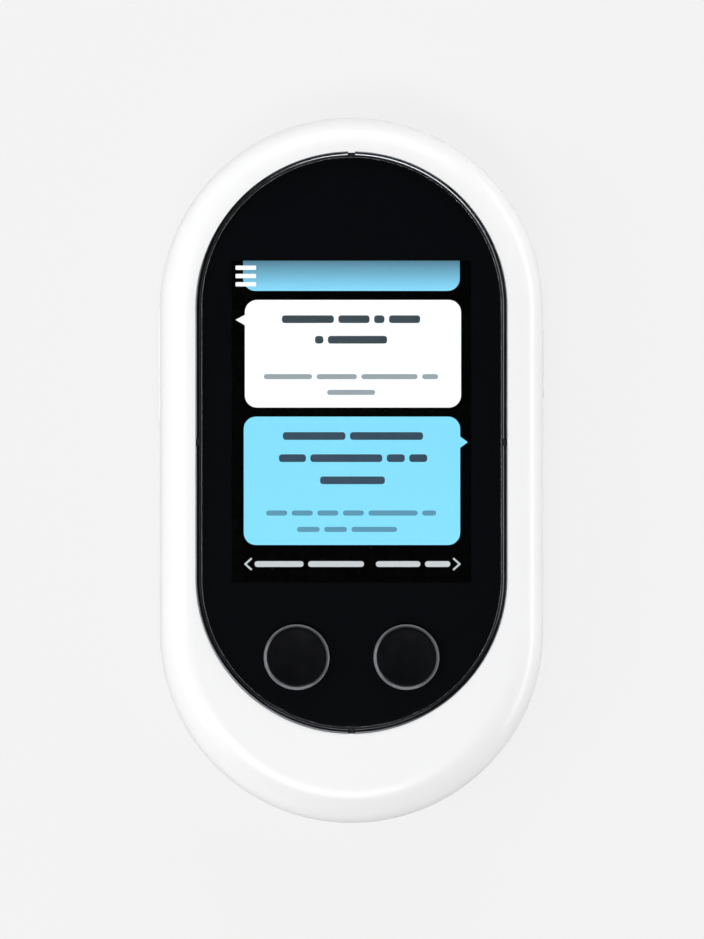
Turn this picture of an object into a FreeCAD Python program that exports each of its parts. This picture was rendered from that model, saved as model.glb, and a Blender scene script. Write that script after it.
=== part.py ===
import FreeCAD, Part
import math
import os

# Handheld translator, millimetres. It lies on its back: X runs across the body, Y from the chin
# to the top, Z out of the glass. The origin is the middle of the flat back.

Vector = FreeCAD.Vector
OVERCUT = 1.0

# Body
BODY_LENGTH = 110.0
BODY_WIDTH = 59.8
THICKNESS = 15.8
WALL = 1.6
FRONT_RADIUS = 5.5
BACK_RADIUS = 5.8
PARTING_LAND = 0.2
FRONT_INNER_BEVEL = 2.0
BACK_INNER_BEVEL = 2.6
TONGUE_HEIGHT = 1.2
TONGUE_THICKNESS = 0.7
TONGUE_GAP = 0.1
NOTCH_MARGIN = 1.0
GLASS_PROUD = 0.2

# Glass, its print and the trim round it
SIDE_RIM = 5.6
TOP_RIM = 5.24
CHIN_RIM = 13.96
POCKET_GAP = 0.05
TRIM_WIDTH = 0.66
TRIM_GROOVE = 0.32
TRIM_HEIGHT = 0.65
TRIM_DROP = 0.05
TRIM_CHAMFER = 0.16
TRIM_GAP = 1.1
GAP_KEY_DROP = 0.3
GAP_KEY_FIT = 0.02
GAP_PORT_RADIUS = 0.3
LENS_THICKNESS = 1.0
LENS_CHAMFER = 0.15
LENS_FIT = 0.04
PRINT_THICKNESS = 0.1
SENSOR_THICKNESS = 0.2
ADHESIVE_MARGIN = 0.3

# Display
SCREEN_SIDE_BORDER = 4.66
SCREEN_CORNER_MARGIN = 3.31
SCREEN_CHIN_BORDER = 22.6
PANEL_SIDE_BORDER = 1.3
PANEL_TOP_BORDER = 1.0
PANEL_CHIN_BORDER = 4.3
PANEL_THICKNESS = 1.4
TRAY_WALL = 0.5
TRAY_FLOOR = 0.8
TRAY_RIM_DROP = 0.5
DISPLAY_GAP = 0.3
FOAM_INSET = 3.0

# Deck under the glass and the posts below it
DECK_THICKNESS = 1.2
BOARD_POST_LENGTH = 3.1
BOARD_POST_RADIUS = 1.6
UPPER_POST_GAP = 0.8
UPPER_POST_DROP = 3.0
CHIN_POST_X = 7.5
CHIN_POST_DROP = 0.8
DECK_RIB = 0.9
DECK_RIB_DROP = 2.5
BOARD_THICKNESS = 1.0
BOARD_EDGE_GAP = 1.0
BOARD_HOLE_GAP = 0.3

# Talk buttons
TALK_SPACING = 17.1
TALK_RISE = 11.92
TALK_RING_RADIUS = 5.08
TALK_RING_LAND = 0.08
TALK_RING_SLOPE = 0.32
TALK_RING_DEPTH = 0.45
TALK_LENS_GAP = 0.05
TALK_GAP = 0.08
TALK_DISH = 0.15
TALK_EDGE = 0.15
TALK_TRAVEL = 0.35
TALK_FLANGE_RADIUS = 5.65
TALK_FLANGE_THICKNESS = 0.7
TALK_FLANGE_GAP = 0.05
TALK_STEM_RADIUS = 1.5
DOME_GAP = 0.05
DOME_SOLID_HEIGHT = 0.1
DOME_RADIUS = 2.1
DOME_CROWN = 0.55

# Side keys
KEY_DROP = 8.5
KEY_HEIGHT = 2.8
KEY_PROUD = 0.2
KEY_GAP = 0.1
KEY_EDGE = 0.35
POWER_LENGTH = 10.8
VOLUME_LENGTH = 19.0
KEY_FLANGE_OVERHANG = 0.7
KEY_FLANGE_THICKNESS = 0.5
POWER_FLANGE_GAP = 0.05
VOLUME_CLEARANCE = 0.13
VOLUME_FOOT_INSET = 2.5
VOLUME_SWING_DEGREES = 1.8
KEY_FOOT_DEPTH = 1.45
KEY_FOOT_WIDTH = 1.6
KEY_DOME_RADIUS = 1.1
KEY_DOME_HEIGHT = 0.4
FLEX_THICKNESS = 0.15
BRACKET_THICKNESS = 0.4
BRACKET_MARGIN = 1.9
BRACKET_FIT = 0.05
BRACKET_FOOT_GAP = 0.65
RIB_BACK = 0.7
BRACKET_RISE = 0.3
RIB_THICKNESS = 1.2
FLEX_TAIL_WIDTH = 4.0
FLEX_TAIL_REACH = 3.6
FLEX_TURN_INSET = 0.4
NUB_GAP = 0.04
NUB_INSET = 0.4

# Screws
BOSS_RADIUS = 2.5
BOSS_JOINT_DROP = 2.1
CASE_HEAD_RADIUS = 1.6
CASE_HEAD_HEIGHT = 0.9
CASE_HEAD_GAP = 0.15
CASE_SHANK_RADIUS = 0.8
CASE_SHANK_GAP = 0.15
CASE_SHANK_LENGTH = 10.0
BOARD_HEAD_RADIUS = 1.3
BOARD_HEAD_HEIGHT = 0.7
BOARD_SHANK_RADIUS = 0.6
BOARD_SHANK_LENGTH = 3.4
TOP_SCREW_X = 12.0
TOP_SCREW_INSET = 7.8
CHIN_SCREW_OUT = 8.45
CHIN_SCREW_DROP = 1.4

# Main board parts
SHIELD_HEIGHT = 1.7
SHIELD_SKIN = 0.2
SHIELD_GAP = 2.0
SHIELD_TOP_MARGIN = 6.0
SHIELD_CHIN_MARGIN = 5.0
SHIELD_LEFT_SHARE = 0.64
PROCESSOR_RIGHT_SHARE = 0.21
RADIO_RIGHT_SHARE = 0.07
CONNECTOR_INSET = 2.2
CONNECTOR_LENGTH = 3.0
CONNECTOR_HEIGHT = 1.0
CONNECTOR_MARGIN = 0.6
PAD_LENGTH = 1.6
USB_WIDTH = 8.94
USB_HEIGHT = 3.16
USB_DEPTH = 7.35
USB_SKIN = 0.25
USB_INSET = 1.1
USB_SINK = 0.56
USB_HOLE_GAP = 0.18
USB_FLANGE_REACH = 1.1
USB_FLANGE_LENGTH = 1.4
USB_FLANGE_START = 2.6
USB_PLUG = 1.2
USB_TONGUE_WIDTH = 6.6
USB_TONGUE_THICKNESS = 0.7
USB_TONGUE_LENGTH = 4.4
SIM_KEY_GAP = 1.3
SIM_SOCKET_HEIGHT = 1.75
SIM_SOCKET_SKIN = 0.2
SIM_PLATE_LENGTH = 12.6
SIM_PLATE_HEIGHT = 2.2
SIM_GAP = 0.1
SIM_TRAY_THICKNESS = 0.9
SIM_TRAY_GAP = 0.25
SIM_CARD_LENGTH = 12.3
SIM_CARD_WIDTH = 8.8
SIM_CARD_THICKNESS = 0.67
SIM_CARD_CORNER = 1.6
SIM_CARD_GAP = 0.1
SIM_FRAME = 1.1
SIM_LEDGE = 0.8
SIM_NAIL_RADIUS = 1.3
SIM_NAIL_DEPTH = 0.45
SIM_BACK_GAP = 1.0
SIM_CARD_LIFT = 0.02

# Battery, speakers, microphones and antennas
BATTERY_TAPE = 0.2
BATTERY_HEADROOM = 0.7
BATTERY_GAP = 0.35
BATTERY_EDGE = 1.0
BATTERY_TERRACE = 3.5
TERRACE_STEP = 0.4
TERRACE_DROP = 1.2
TAPE_INSET = 4.0
LEAD_ROOM = 4.0
LEAD_WIDTH = 5.0
LEAD_THICKNESS = 0.3
LEAD_REACH = 1.6
PLUG_LENGTH = 2.4
PLUG_HEIGHT = 1.2
PLUG_MARGIN = 0.8
BAY_RIB = 0.8
BAY_RIB_HEIGHT = 2.6
SPEAKER_DEPTH = 4.4
SPEAKER_SIM_GAP = 2.7
SPEAKER_END = 0.1
SPEAKER_SEAT = 4.2
SPEAKER_TOP_GAP = 0.2
SPEAKER_FRAME = 0.5
SPEAKER_MOUTH_DEPTH = 0.8
SEAT_RIB = 1.0
SEAT_END_GAP = 0.3
SEAT_END_RISE = 1.2
GASKET_STEP = 2.0
MESH_THICKNESS = 0.15
MESH_GAP = 0.05
GASKET_THICKNESS = 0.5
SPEAKER_HOLE_RADIUS = 0.5
SPEAKER_HOLE_PITCH = 2.4
SPEAKER_HOLE_MARGIN = 4.0
MIC_LENGTH = 3.5
MIC_WIDTH = 2.65
MIC_HEIGHT = 1.1
MIC_HOLE_RADIUS = 0.4
MIC_GASKET_HALF = 1.1
ANTENNA_THICKNESS = 0.25
ANTENNA_GAP = 0.05
ANTENNA_HEIGHT = 4.6
SNAP_DEPTH = 0.25
SNAP_HALF_HEIGHT = 0.3
SNAP_SPAN_DEGREES = 12.0
SNAP_GAP = 0.1

# Small clearances and joints used in many places
ROOT = 0.2
SLIP = 0.1
EASE = 0.3

# What the strokes ask for
DOME_HEIGHT = TALK_TRAVEL + DOME_SOLID_HEIGHT
VOLUME_FOOT_REACH = VOLUME_LENGTH / 2 - VOLUME_FOOT_INSET
VOLUME_FLANGE_REACH = VOLUME_LENGTH / 2 + KEY_FLANGE_OVERHANG
POWER_RIB_REACH = POWER_LENGTH / 2 + KEY_FLANGE_OVERHANG + BRACKET_MARGIN
VOLUME_SWING = VOLUME_FLANGE_REACH * math.tan(math.radians(VOLUME_SWING_DEGREES))
VOLUME_FLANGE_GAP = VOLUME_SWING + VOLUME_CLEARANCE

# Levels, from the back to the glass
PARTING = BACK_RADIUS + PARTING_LAND
LIP = THICKNESS - GLASS_PROUD
BAND_TOP = LIP - FRONT_RADIUS
BAND_MIDDLE = (PARTING + BAND_TOP) / 2
PRINT_TOP = THICKNESS - LENS_THICKNESS
SENSOR_TOP = PRINT_TOP - PRINT_THICKNESS
DECK_TOP = SENSOR_TOP - SENSOR_THICKNESS
DECK_UNDER = DECK_TOP - DECK_THICKNESS
TRIM_TOP = THICKNESS - TRIM_DROP
TRIM_SEAT = TRIM_TOP - TRIM_HEIGHT
BOARD_TOP = DECK_UNDER - BOARD_POST_LENGTH
BOARD_BOTTOM = BOARD_TOP - BOARD_THICKNESS
BOSS_JOINT = BOARD_BOTTOM - BOSS_JOINT_DROP
TRAY_TOP = DECK_TOP - TRAY_RIM_DROP
PANEL_BOTTOM = DECK_TOP - PANEL_THICKNESS
TRAY_BOTTOM = PANEL_BOTTOM - TRAY_FLOOR
SHIELD_TOP = BOARD_TOP + SHIELD_HEIGHT
SCREW_TIP = DECK_TOP - CASE_HEAD_HEIGHT - CASE_HEAD_GAP - CASE_SHANK_LENGTH - 2 * CASE_SHANK_GAP
BATTERY_BOTTOM = WALL + BATTERY_TAPE
BATTERY_TOP = BOARD_BOTTOM - SIM_SOCKET_HEIGHT - BATTERY_HEADROOM

# Outlines, each a stadium: two straight sides and two half circles
INNER_WIDTH = BODY_WIDTH - 2 * WALL
INNER_LENGTH = BODY_LENGTH - 2 * WALL
INNER_X = INNER_WIDTH / 2
STRAIGHT_Y = (BODY_LENGTH - BODY_WIDTH) / 2
TRIM_OUTER_WIDTH = BODY_WIDTH - 2 * SIDE_RIM
TRIM_OUTER_LENGTH = BODY_LENGTH - TOP_RIM - CHIN_RIM
GLASS_Y = (CHIN_RIM - TOP_RIM) / 2
LENS_MARGIN = TRIM_WIDTH + TRIM_GROOVE
LENS_WIDTH = TRIM_OUTER_WIDTH - 2 * LENS_MARGIN
LENS_LENGTH = TRIM_OUTER_LENGTH - 2 * LENS_MARGIN
LENS_TOP_Y = GLASS_Y + LENS_LENGTH / 2
LENS_CHIN_Y = GLASS_Y - LENS_LENGTH / 2
TRIM_TOP_Y = GLASS_Y + TRIM_OUTER_LENGTH / 2
TRIM_CHIN_Y = GLASS_Y - TRIM_OUTER_LENGTH / 2

# Screen and display module
SCREEN_X = LENS_WIDTH / 2 - SCREEN_SIDE_BORDER
SCREEN_CORNER_RADIUS = LENS_WIDTH / 2 - SCREEN_CORNER_MARGIN
SCREEN_RISE = math.sqrt(SCREEN_CORNER_RADIUS**2 - SCREEN_X**2)
SCREEN_TOP_Y = LENS_TOP_Y - LENS_WIDTH / 2 + SCREEN_RISE
SCREEN_CHIN_Y = LENS_CHIN_Y + SCREEN_CHIN_BORDER
PANEL_X = SCREEN_X + PANEL_SIDE_BORDER
PANEL_TOP_Y = SCREEN_TOP_Y + PANEL_TOP_BORDER
PANEL_CHIN_Y = SCREEN_CHIN_Y - PANEL_CHIN_BORDER
TRAY_X = PANEL_X + TRAY_WALL
TRAY_TOP_Y = PANEL_TOP_Y + TRAY_WALL
TRAY_CHIN_Y = PANEL_CHIN_Y - TRAY_WALL

# Places of the buttons, screws and ports
TALK_X = TALK_SPACING / 2
TALK_Y = TRIM_CHIN_Y + TALK_RISE
TALK_BORE_RADIUS = TALK_RING_RADIUS - TALK_RING_LAND - TALK_RING_SLOPE
TALK_CAP_RADIUS = TALK_BORE_RADIUS - TALK_GAP
TALK_CAP_TOP = THICKNESS - TALK_RING_DEPTH
TALK_HOLE_RADIUS = TALK_CAP_RADIUS + 2 * TALK_GAP
TALK_FLANGE_TOP = DECK_UNDER - TALK_FLANGE_GAP
MIC_TOP_Y = TRIM_TOP_Y - TRIM_WIDTH / 2
MIC_CHIN_Y = TRIM_CHIN_Y + TRIM_WIDTH / 2
TOP_SCREW_Y = TRIM_TOP_Y - TOP_SCREW_INSET
CHIN_SCREW_X = TALK_X + CHIN_SCREW_OUT
CHIN_SCREW_Y = TALK_Y - CHIN_SCREW_DROP
CASE_SCREW_PLACES = [
    (side * x, y)
    for x, y in ((TOP_SCREW_X, TOP_SCREW_Y), (CHIN_SCREW_X, CHIN_SCREW_Y))
    for side in (-1, 1)
]
UPPER_POST_X = TRAY_X + DISPLAY_GAP + BOARD_POST_RADIUS + UPPER_POST_GAP
UPPER_POST_Y = PANEL_TOP_Y - UPPER_POST_DROP
CHIN_POST_Y = MIC_CHIN_Y - CHIN_POST_DROP
BOARD_SCREW_PLACES = [
    (side * x, y)
    for x, y in ((UPPER_POST_X, UPPER_POST_Y), (CHIN_POST_X, CHIN_POST_Y))
    for side in (-1, 1)
]

# Places along the straight sides, from the top end down
KEY_Y = STRAIGHT_Y - KEY_DROP
SIM_Y = KEY_Y - POWER_RIB_REACH - SIM_KEY_GAP - SIM_PLATE_LENGTH / 2
SPEAKER_TOP_Y = SIM_Y - SIM_PLATE_LENGTH / 2 - SPEAKER_SIM_GAP
SPEAKER_CHIN_Y = SPEAKER_END - STRAIGHT_Y
SPEAKER_LENGTH = SPEAKER_TOP_Y - SPEAKER_CHIN_Y
SPEAKER_HOLE_COUNT = int((SPEAKER_LENGTH - SPEAKER_HOLE_MARGIN) / SPEAKER_HOLE_PITCH) + 1

# Side key stack, measured in from the inner face of the side wall
FLEX_FACE_X = INNER_X - KEY_FOOT_DEPTH - KEY_DOME_HEIGHT
BRACKET_FACE_X = FLEX_FACE_X - FLEX_THICKNESS
BRACKET_BACK_X = BRACKET_FACE_X - BRACKET_THICKNESS
RIB_BACK_X = BRACKET_BACK_X - RIB_BACK
BRACKET_BOTTOM = PARTING + BRACKET_FOOT_GAP
BRACKET_TOP = BOARD_TOP - BRACKET_RISE
KEY_FACE_X = BODY_WIDTH / 2 + KEY_PROUD
PIVOT_X = INNER_X - VOLUME_FLANGE_GAP - KEY_FLANGE_THICKNESS

# Shields and the display connector on the board
TAIL_END_X = FLEX_FACE_X - FLEX_TAIL_REACH
CONNECTOR_Y = (TRAY_CHIN_Y + CONNECTOR_INSET, TRAY_CHIN_Y + CONNECTOR_INSET + CONNECTOR_LENGTH)
CONNECTOR_TOP = BOARD_TOP + CONNECTOR_HEIGHT
SHIELD_HIGH_Y = PANEL_TOP_Y - SHIELD_TOP_MARGIN
SHIELD_LOW_Y = CONNECTOR_Y[1] + SHIELD_CHIN_MARGIN
SHIELD_SPLIT_Y = (SHIELD_HIGH_Y + SHIELD_LOW_Y) / 2
PROCESSOR_X = (-SHIELD_LEFT_SHARE * INNER_X, PROCESSOR_RIGHT_SHARE * INNER_X)
PROCESSOR_Y = (SHIELD_SPLIT_Y + SHIELD_GAP / 2, SHIELD_HIGH_Y)
RADIO_X = (-SHIELD_LEFT_SHARE * INNER_X, RADIO_RIGHT_SHARE * INNER_X)
RADIO_Y = (SHIELD_LOW_Y, SHIELD_SPLIT_Y - SHIELD_GAP / 2)
CHIP_STRIP_X = (PROCESSOR_X[1] + SHIELD_GAP / 2, TAIL_END_X - SHIELD_GAP / 2)

# Receptacle, tray and speakers
USB_TOP = BOARD_BOTTOM + USB_SINK
USB_MIDDLE = USB_TOP - USB_HEIGHT / 2
USB_MOUTH_Y = -BODY_LENGTH / 2 + USB_INSET
USB_REAR_Y = USB_MOUTH_Y + USB_DEPTH
SIM_MIDDLE = BOARD_BOTTOM - SIM_SOCKET_HEIGHT / 2
SIM_TRAY_WIDTH = SIM_CARD_WIDTH + 2 * SIM_CARD_GAP + 2 * SIM_FRAME
SIM_TRAY_LENGTH = SIM_CARD_LENGTH + 2 * SIM_CARD_GAP + SIM_FRAME
SIM_TRAY_END_X = INNER_X - SIM_FRAME - SIM_TRAY_LENGTH
SIM_SOCKET_MOUTH_X = INNER_X - BOARD_EDGE_GAP
SPEAKER_X = INNER_X - GASKET_THICKNESS - MESH_THICKNESS - MESH_GAP
SPEAKER_TOP = BOARD_BOTTOM - SPEAKER_TOP_GAP
BATTERY_X = SPEAKER_X - SPEAKER_DEPTH - BAY_RIB - 2 * BATTERY_GAP
BATTERY_TOP_Y = TOP_SCREW_Y - BOSS_RADIUS - BAY_RIB - 2 * BATTERY_GAP - LEAD_ROOM
BATTERY_CHIN_Y = CHIN_SCREW_Y + BOSS_RADIUS + BAY_RIB + 2 * BATTERY_GAP


# Forms shared by the pieces


def stadium_face(width, length, level, middle_y=0.0):
    """A flat stadium, its long axis along Y, from two lines and two arcs."""
    radius = width / 2
    reach = (length - width) / 2
    high = middle_y + reach
    low = middle_y - reach
    corners = [
        Vector(radius, low, level),
        Vector(radius, high, level),
        Vector(-radius, high, level),
        Vector(-radius, low, level),
    ]
    top = Vector(0, high + radius, level)
    bottom = Vector(0, low - radius, level)
    edges = [
        Part.LineSegment(corners[0], corners[1]).toShape(),
        Part.Arc(corners[1], top, corners[2]).toShape(),
        Part.LineSegment(corners[2], corners[3]).toShape(),
        Part.Arc(corners[3], bottom, corners[0]).toShape(),
    ]
    return Part.Face(Part.Wire(edges))


def edges_at(shape, level):
    """The edges that lie in the level plane."""
    found = []
    for edge in shape.Edges:
        box = edge.BoundBox
        if abs(box.ZMin - level) < 1e-6 and abs(box.ZMax - level) < 1e-6:
            found.append(edge)
    return found


def stadium(width, length, low, high, middle_y=0.0):
    """An upright stadium prism."""
    return stadium_face(width, length, low, middle_y).extrude(Vector(0, 0, high - low))


def rounded(shape, radius, level):
    return shape.makeFillet(radius, edges_at(shape, level))


def chamfered(shape, size, level):
    return shape.makeChamfer(size, edges_at(shape, level))


def block(x, y, z, corner=0.0):
    """A box from three (low, high) pairs, its upright edges rounded where a corner is given."""
    size = Vector(x[1] - x[0], y[1] - y[0], z[1] - z[0])
    shape = Part.makeBox(size.x, size.y, size.z, Vector(x[0], y[0], z[0]))
    if corner:
        upright = [edge for edge in shape.Edges if edge.BoundBox.ZLength > size.z / 2]
        shape = shape.makeFillet(corner, upright)
    return shape


def mirrored_pair(low, high, side):
    """A (low, high) pair on the right side, or its mirror on the left."""
    return (low, high) if side > 0 else (-high, -low)


def post(radius, low, high, x, y):
    return Part.makeCylinder(radius, high - low, Vector(x, y, low))


def bar_across(radius, low_x, high_x, y, z):
    """A round bar along X."""
    return Part.makeCylinder(radius, high_x - low_x, Vector(low_x, y, z), Vector(1, 0, 0))


def turned(points, x=0.0, y=0.0):
    """A solid of revolution about an upright axis, from (radius, level) points."""
    corners = [Vector(x + radius, y, level) for radius, level in points]
    face = Part.Face(Part.makePolygon(corners + corners[:1]))
    return face.revolve(Vector(x, y, 0), Vector(0, 0, 1), 360)


def side_pill(length, height, low_x, high_x, y, z):
    """A pill shaped bar, long along Y, that runs through the side wall along X."""
    shape = stadium(height, length, low_x, high_x)
    shape.rotate(Vector(), Vector(0, 1, 0), 90)
    shape.translate(Vector(0, y, z))
    return shape


def end_pill(length, height, low_y, high_y, z):
    """A pill shaped bar, long along X, that runs through the end wall along Y."""
    shape = stadium(height, length, low_y, high_y)
    shape.rotate(Vector(), Vector(1, 1, 1), -120)
    shape.translate(Vector(0, 0, z))
    return shape


def joined(shape, others):
    return shape.fuse(others).removeSplitter()


def mirrored(shape):
    """The same piece on the other side of the YZ plane."""
    return shape.mirror(Vector(), Vector(1, 0, 0))


def on_side(shape, side):
    return shape if side > 0 else mirrored(shape)


# Casing


def tongue_notches(margin):
    """Where the tongue is left out, so that keys, ports and speakers pass through a full wall."""
    high = PARTING + TONGUE_HEIGHT + OVERCUT
    level = (PARTING - OVERCUT, high)
    outward = (INNER_X - OVERCUT, BODY_WIDTH / 2 + OVERCUT)
    spans = []
    for side, length in ((1, POWER_LENGTH), (-1, VOLUME_LENGTH)):
        half = length / 2 + KEY_FLANGE_OVERHANG + BRACKET_MARGIN + margin
        spans.append((side, KEY_Y - half, KEY_Y + half))
    half = SIM_PLATE_LENGTH / 2 + SIM_GAP + margin
    spans.append((1, SIM_Y - half, SIM_Y + half))
    for side in (-1, 1):
        spans.append((side, SPEAKER_CHIN_Y - margin, SPEAKER_TOP_Y + margin))
    shapes = [
        block(mirrored_pair(*outward, side), (low, high_y), level)
        for side, low, high_y in spans
    ]
    half = USB_WIDTH / 2 + USB_HOLE_GAP + margin
    end = BODY_LENGTH / 2
    shapes.append(block((-half, half), (-end - OVERCUT, -end + 2 * WALL), level))
    return shapes


def tongue_ring(clearance):
    """The raised tongue of the rear cover, or with a clearance the rebate that takes it."""
    low = PARTING - OVERCUT * (1 if clearance == 0 else 0)
    high = PARTING + TONGUE_HEIGHT + clearance
    grow = 2 * (TONGUE_THICKNESS + clearance)
    outer = stadium(INNER_WIDTH + grow, INNER_LENGTH + grow, low, high)
    inner = stadium(INNER_WIDTH, INNER_LENGTH, low - OVERCUT, high + OVERCUT)
    return outer.cut(inner).cut(tongue_notches(NOTCH_MARGIN - clearance))


def snap_beads(clearance):
    """Snap beads on the outside of the tongue at both round ends, or the pockets they click in."""
    face = INNER_X + TONGUE_THICKNESS
    middle = PARTING + TONGUE_HEIGHT / 2
    half = SNAP_HALF_HEIGHT + clearance
    span = SNAP_SPAN_DEGREES + 2 * math.degrees(clearance / face)
    points = [
        Vector(face - clearance - 0.05, 0, middle - half),
        Vector(face, 0, middle - half),
        Vector(face + SNAP_DEPTH + clearance, 0, middle),
        Vector(face, 0, middle + half),
        Vector(face - clearance - 0.05, 0, middle + half),
    ]
    profile = Part.Face(Part.makePolygon(points + points[:1]))
    bead = profile.revolve(Vector(), Vector(0, 0, 1), span)
    bead.rotate(Vector(), Vector(0, 0, 1), -span / 2)
    beads = []
    for end, angles in ((1, (50, 130)), (-1, (-130, -50))):
        for angle in angles:
            copy = bead.copy()
            copy.rotate(Vector(), Vector(0, 0, 1), angle)
            copy.translate(Vector(0, end * STRAIGHT_Y, 0))
            beads.append(copy)
    return beads


def key_ribs(side, length):
    """Two ribs that hang from the deck beside a key, slotted from below for its bracket."""
    reach = length / 2 + KEY_FLANGE_OVERHANG + BRACKET_MARGIN - RIB_THICKNESS / 2
    slot_x = (BRACKET_BACK_X - BRACKET_FIT, FLEX_FACE_X + BRACKET_FIT)
    ribs = []
    for end in (-1, 1):
        y = KEY_Y + end * reach
        span = (y - RIB_THICKNESS / 2, y + RIB_THICKNESS / 2)
        rib = block((RIB_BACK_X, INNER_X + 2 * ROOT), span, (BRACKET_BOTTOM - ROOT, DECK_UNDER + ROOT))
        slot = block(slot_x, (y - RIB_THICKNESS, y + RIB_THICKNESS), (PARTING, BRACKET_TOP + BRACKET_FIT))
        ribs.append(on_side(rib.cut(slot), side))
    return ribs


def front_housing():
    shell = rounded(stadium(BODY_WIDTH, BODY_LENGTH, PARTING, LIP), FRONT_RADIUS, LIP)
    hollow = stadium(INNER_WIDTH, INNER_LENGTH, PARTING - OVERCUT, DECK_UNDER)
    hollow = chamfered(hollow, FRONT_INNER_BEVEL, DECK_UNDER)
    pocket_grow = 2 * POCKET_GAP
    pocket = stadium(
        TRIM_OUTER_WIDTH + pocket_grow,
        TRIM_OUTER_LENGTH + pocket_grow,
        DECK_TOP,
        LIP + OVERCUT,
        GLASS_Y,
    )
    shell = shell.cut([hollow, pocket, tongue_ring(TONGUE_GAP)] + snap_beads(SNAP_GAP))

    additions = key_ribs(1, POWER_LENGTH) + key_ribs(-1, VOLUME_LENGTH)
    root = DECK_UNDER + ROOT
    for x, y in CASE_SCREW_PLACES:
        additions.append(post(BOSS_RADIUS, BOSS_JOINT, root, x, y))
    for x, y in BOARD_SCREW_PLACES:
        additions.append(post(BOARD_POST_RADIUS, BOARD_TOP, root, x, y))
    additions += deck_ribs(root)
    shell = joined(shell, additions)

    cuts = [
        block(
            (-TRAY_X - DISPLAY_GAP, TRAY_X + DISPLAY_GAP),
            (TRAY_CHIN_Y - DISPLAY_GAP, TRAY_TOP_Y + DISPLAY_GAP),
            (DECK_UNDER - OVERCUT, DECK_TOP + OVERCUT),
        )
    ]
    for side in (-1, 1):
        cuts.append(post(TALK_HOLE_RADIUS, DECK_UNDER - OVERCUT, LIP, side * TALK_X, TALK_Y))
    for y in (MIC_TOP_Y, MIC_CHIN_Y):
        cuts.append(post(MIC_HOLE_RADIUS, DECK_UNDER - OVERCUT, LIP, 0, y))
    head_seat = DECK_TOP - CASE_HEAD_HEIGHT - CASE_HEAD_GAP
    for x, y in CASE_SCREW_PLACES:
        cuts.append(post(CASE_HEAD_RADIUS + CASE_HEAD_GAP, head_seat, LIP, x, y))
        cuts.append(post(CASE_SHANK_RADIUS + CASE_SHANK_GAP, PARTING, LIP, x, y))
    tap_depth = BOARD_SHANK_LENGTH - BOARD_THICKNESS + EASE
    for x, y in BOARD_SCREW_PLACES:
        cuts.append(post(BOARD_SHANK_RADIUS, BOARD_TOP - OVERCUT, BOARD_TOP + tap_depth, x, y))
    cuts += side_openings()
    return shell.cut(cuts)


def deck_ribs(root):
    """Stiffening ribs under the deck in the chin and above the display."""
    level = (BOARD_TOP + MIC_HEIGHT + EASE, root)
    grow = 2 * EASE
    inside = stadium(INNER_WIDTH + grow, INNER_LENGTH + grow, *level)
    half = DECK_RIB / 2
    chin = CHIN_POST_Y - BOARD_POST_RADIUS - DECK_RIB_DROP
    ribs = [
        block((-INNER_X, INNER_X), (chin - DECK_RIB, chin), level),
        block((-half, half), (-INNER_LENGTH / 2, chin), level),
    ]
    for side in (-1, 1):
        across = mirrored_pair(TOP_SCREW_X, INNER_X, side)
        ribs.append(block(across, (TOP_SCREW_Y - half, TOP_SCREW_Y + half), level))
        along = mirrored_pair(CHIN_SCREW_X - half, CHIN_SCREW_X + half, side)
        ribs.append(block(along, (chin - half, CHIN_SCREW_Y), level))
    return [rib.common(inside) for rib in ribs]


def side_openings():
    """Windows for the keys, the tray, the receptacle and the speaker holes."""
    through = (INNER_X - OVERCUT, BODY_WIDTH / 2 + OVERCUT)
    cuts = []
    for side, length in ((1, POWER_LENGTH), (-1, VOLUME_LENGTH)):
        window = side_pill(
            length + 2 * KEY_GAP, KEY_HEIGHT + 2 * KEY_GAP, *through, KEY_Y, BAND_MIDDLE
        )
        cuts.append(on_side(window, side))
    cuts.append(
        side_pill(
            SIM_PLATE_LENGTH + 2 * SIM_GAP,
            SIM_PLATE_HEIGHT + 2 * SIM_GAP,
            *through,
            SIM_Y,
            SIM_MIDDLE,
        )
    )
    end = BODY_LENGTH / 2
    cuts.append(
        end_pill(
            USB_WIDTH + 2 * USB_HOLE_GAP,
            USB_HEIGHT + 2 * USB_HOLE_GAP,
            -end - OVERCUT,
            -end + 2 * WALL,
            USB_MIDDLE,
        )
    )
    middle = (SPEAKER_TOP_Y + SPEAKER_CHIN_Y) / 2
    first = middle - SPEAKER_HOLE_PITCH * (SPEAKER_HOLE_COUNT - 1) / 2
    for side in (-1, 1):
        for index in range(SPEAKER_HOLE_COUNT):
            y = first + index * SPEAKER_HOLE_PITCH
            hole = bar_across(SPEAKER_HOLE_RADIUS, *through, y, BAND_MIDDLE)
            cuts.append(on_side(hole, side))
    return cuts


def rear_cover():
    shell = rounded(stadium(BODY_WIDTH, BODY_LENGTH, 0, PARTING), BACK_RADIUS, 0)
    hollow = stadium(INNER_WIDTH, INNER_LENGTH, WALL, PARTING + OVERCUT)
    hollow = chamfered(hollow, BACK_INNER_BEVEL, WALL)
    shell = shell.cut(hollow)
    root = WALL - 2 * ROOT
    additions = [tongue_ring(0).common(stadium(BODY_WIDTH, BODY_LENGTH, PARTING - EASE, LIP))]
    additions += snap_beads(0)
    for x, y in CASE_SCREW_PLACES:
        additions.append(post(BOSS_RADIUS, root, BOSS_JOINT, x, y))
    additions += battery_bay(root)
    additions += speaker_seats(root)
    shell = joined(shell, additions)
    tips = [
        post(CASE_SHANK_RADIUS, SCREW_TIP, BOSS_JOINT + OVERCUT, x, y)
        for x, y in CASE_SCREW_PLACES
    ]
    return shell.cut(tips)


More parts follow.
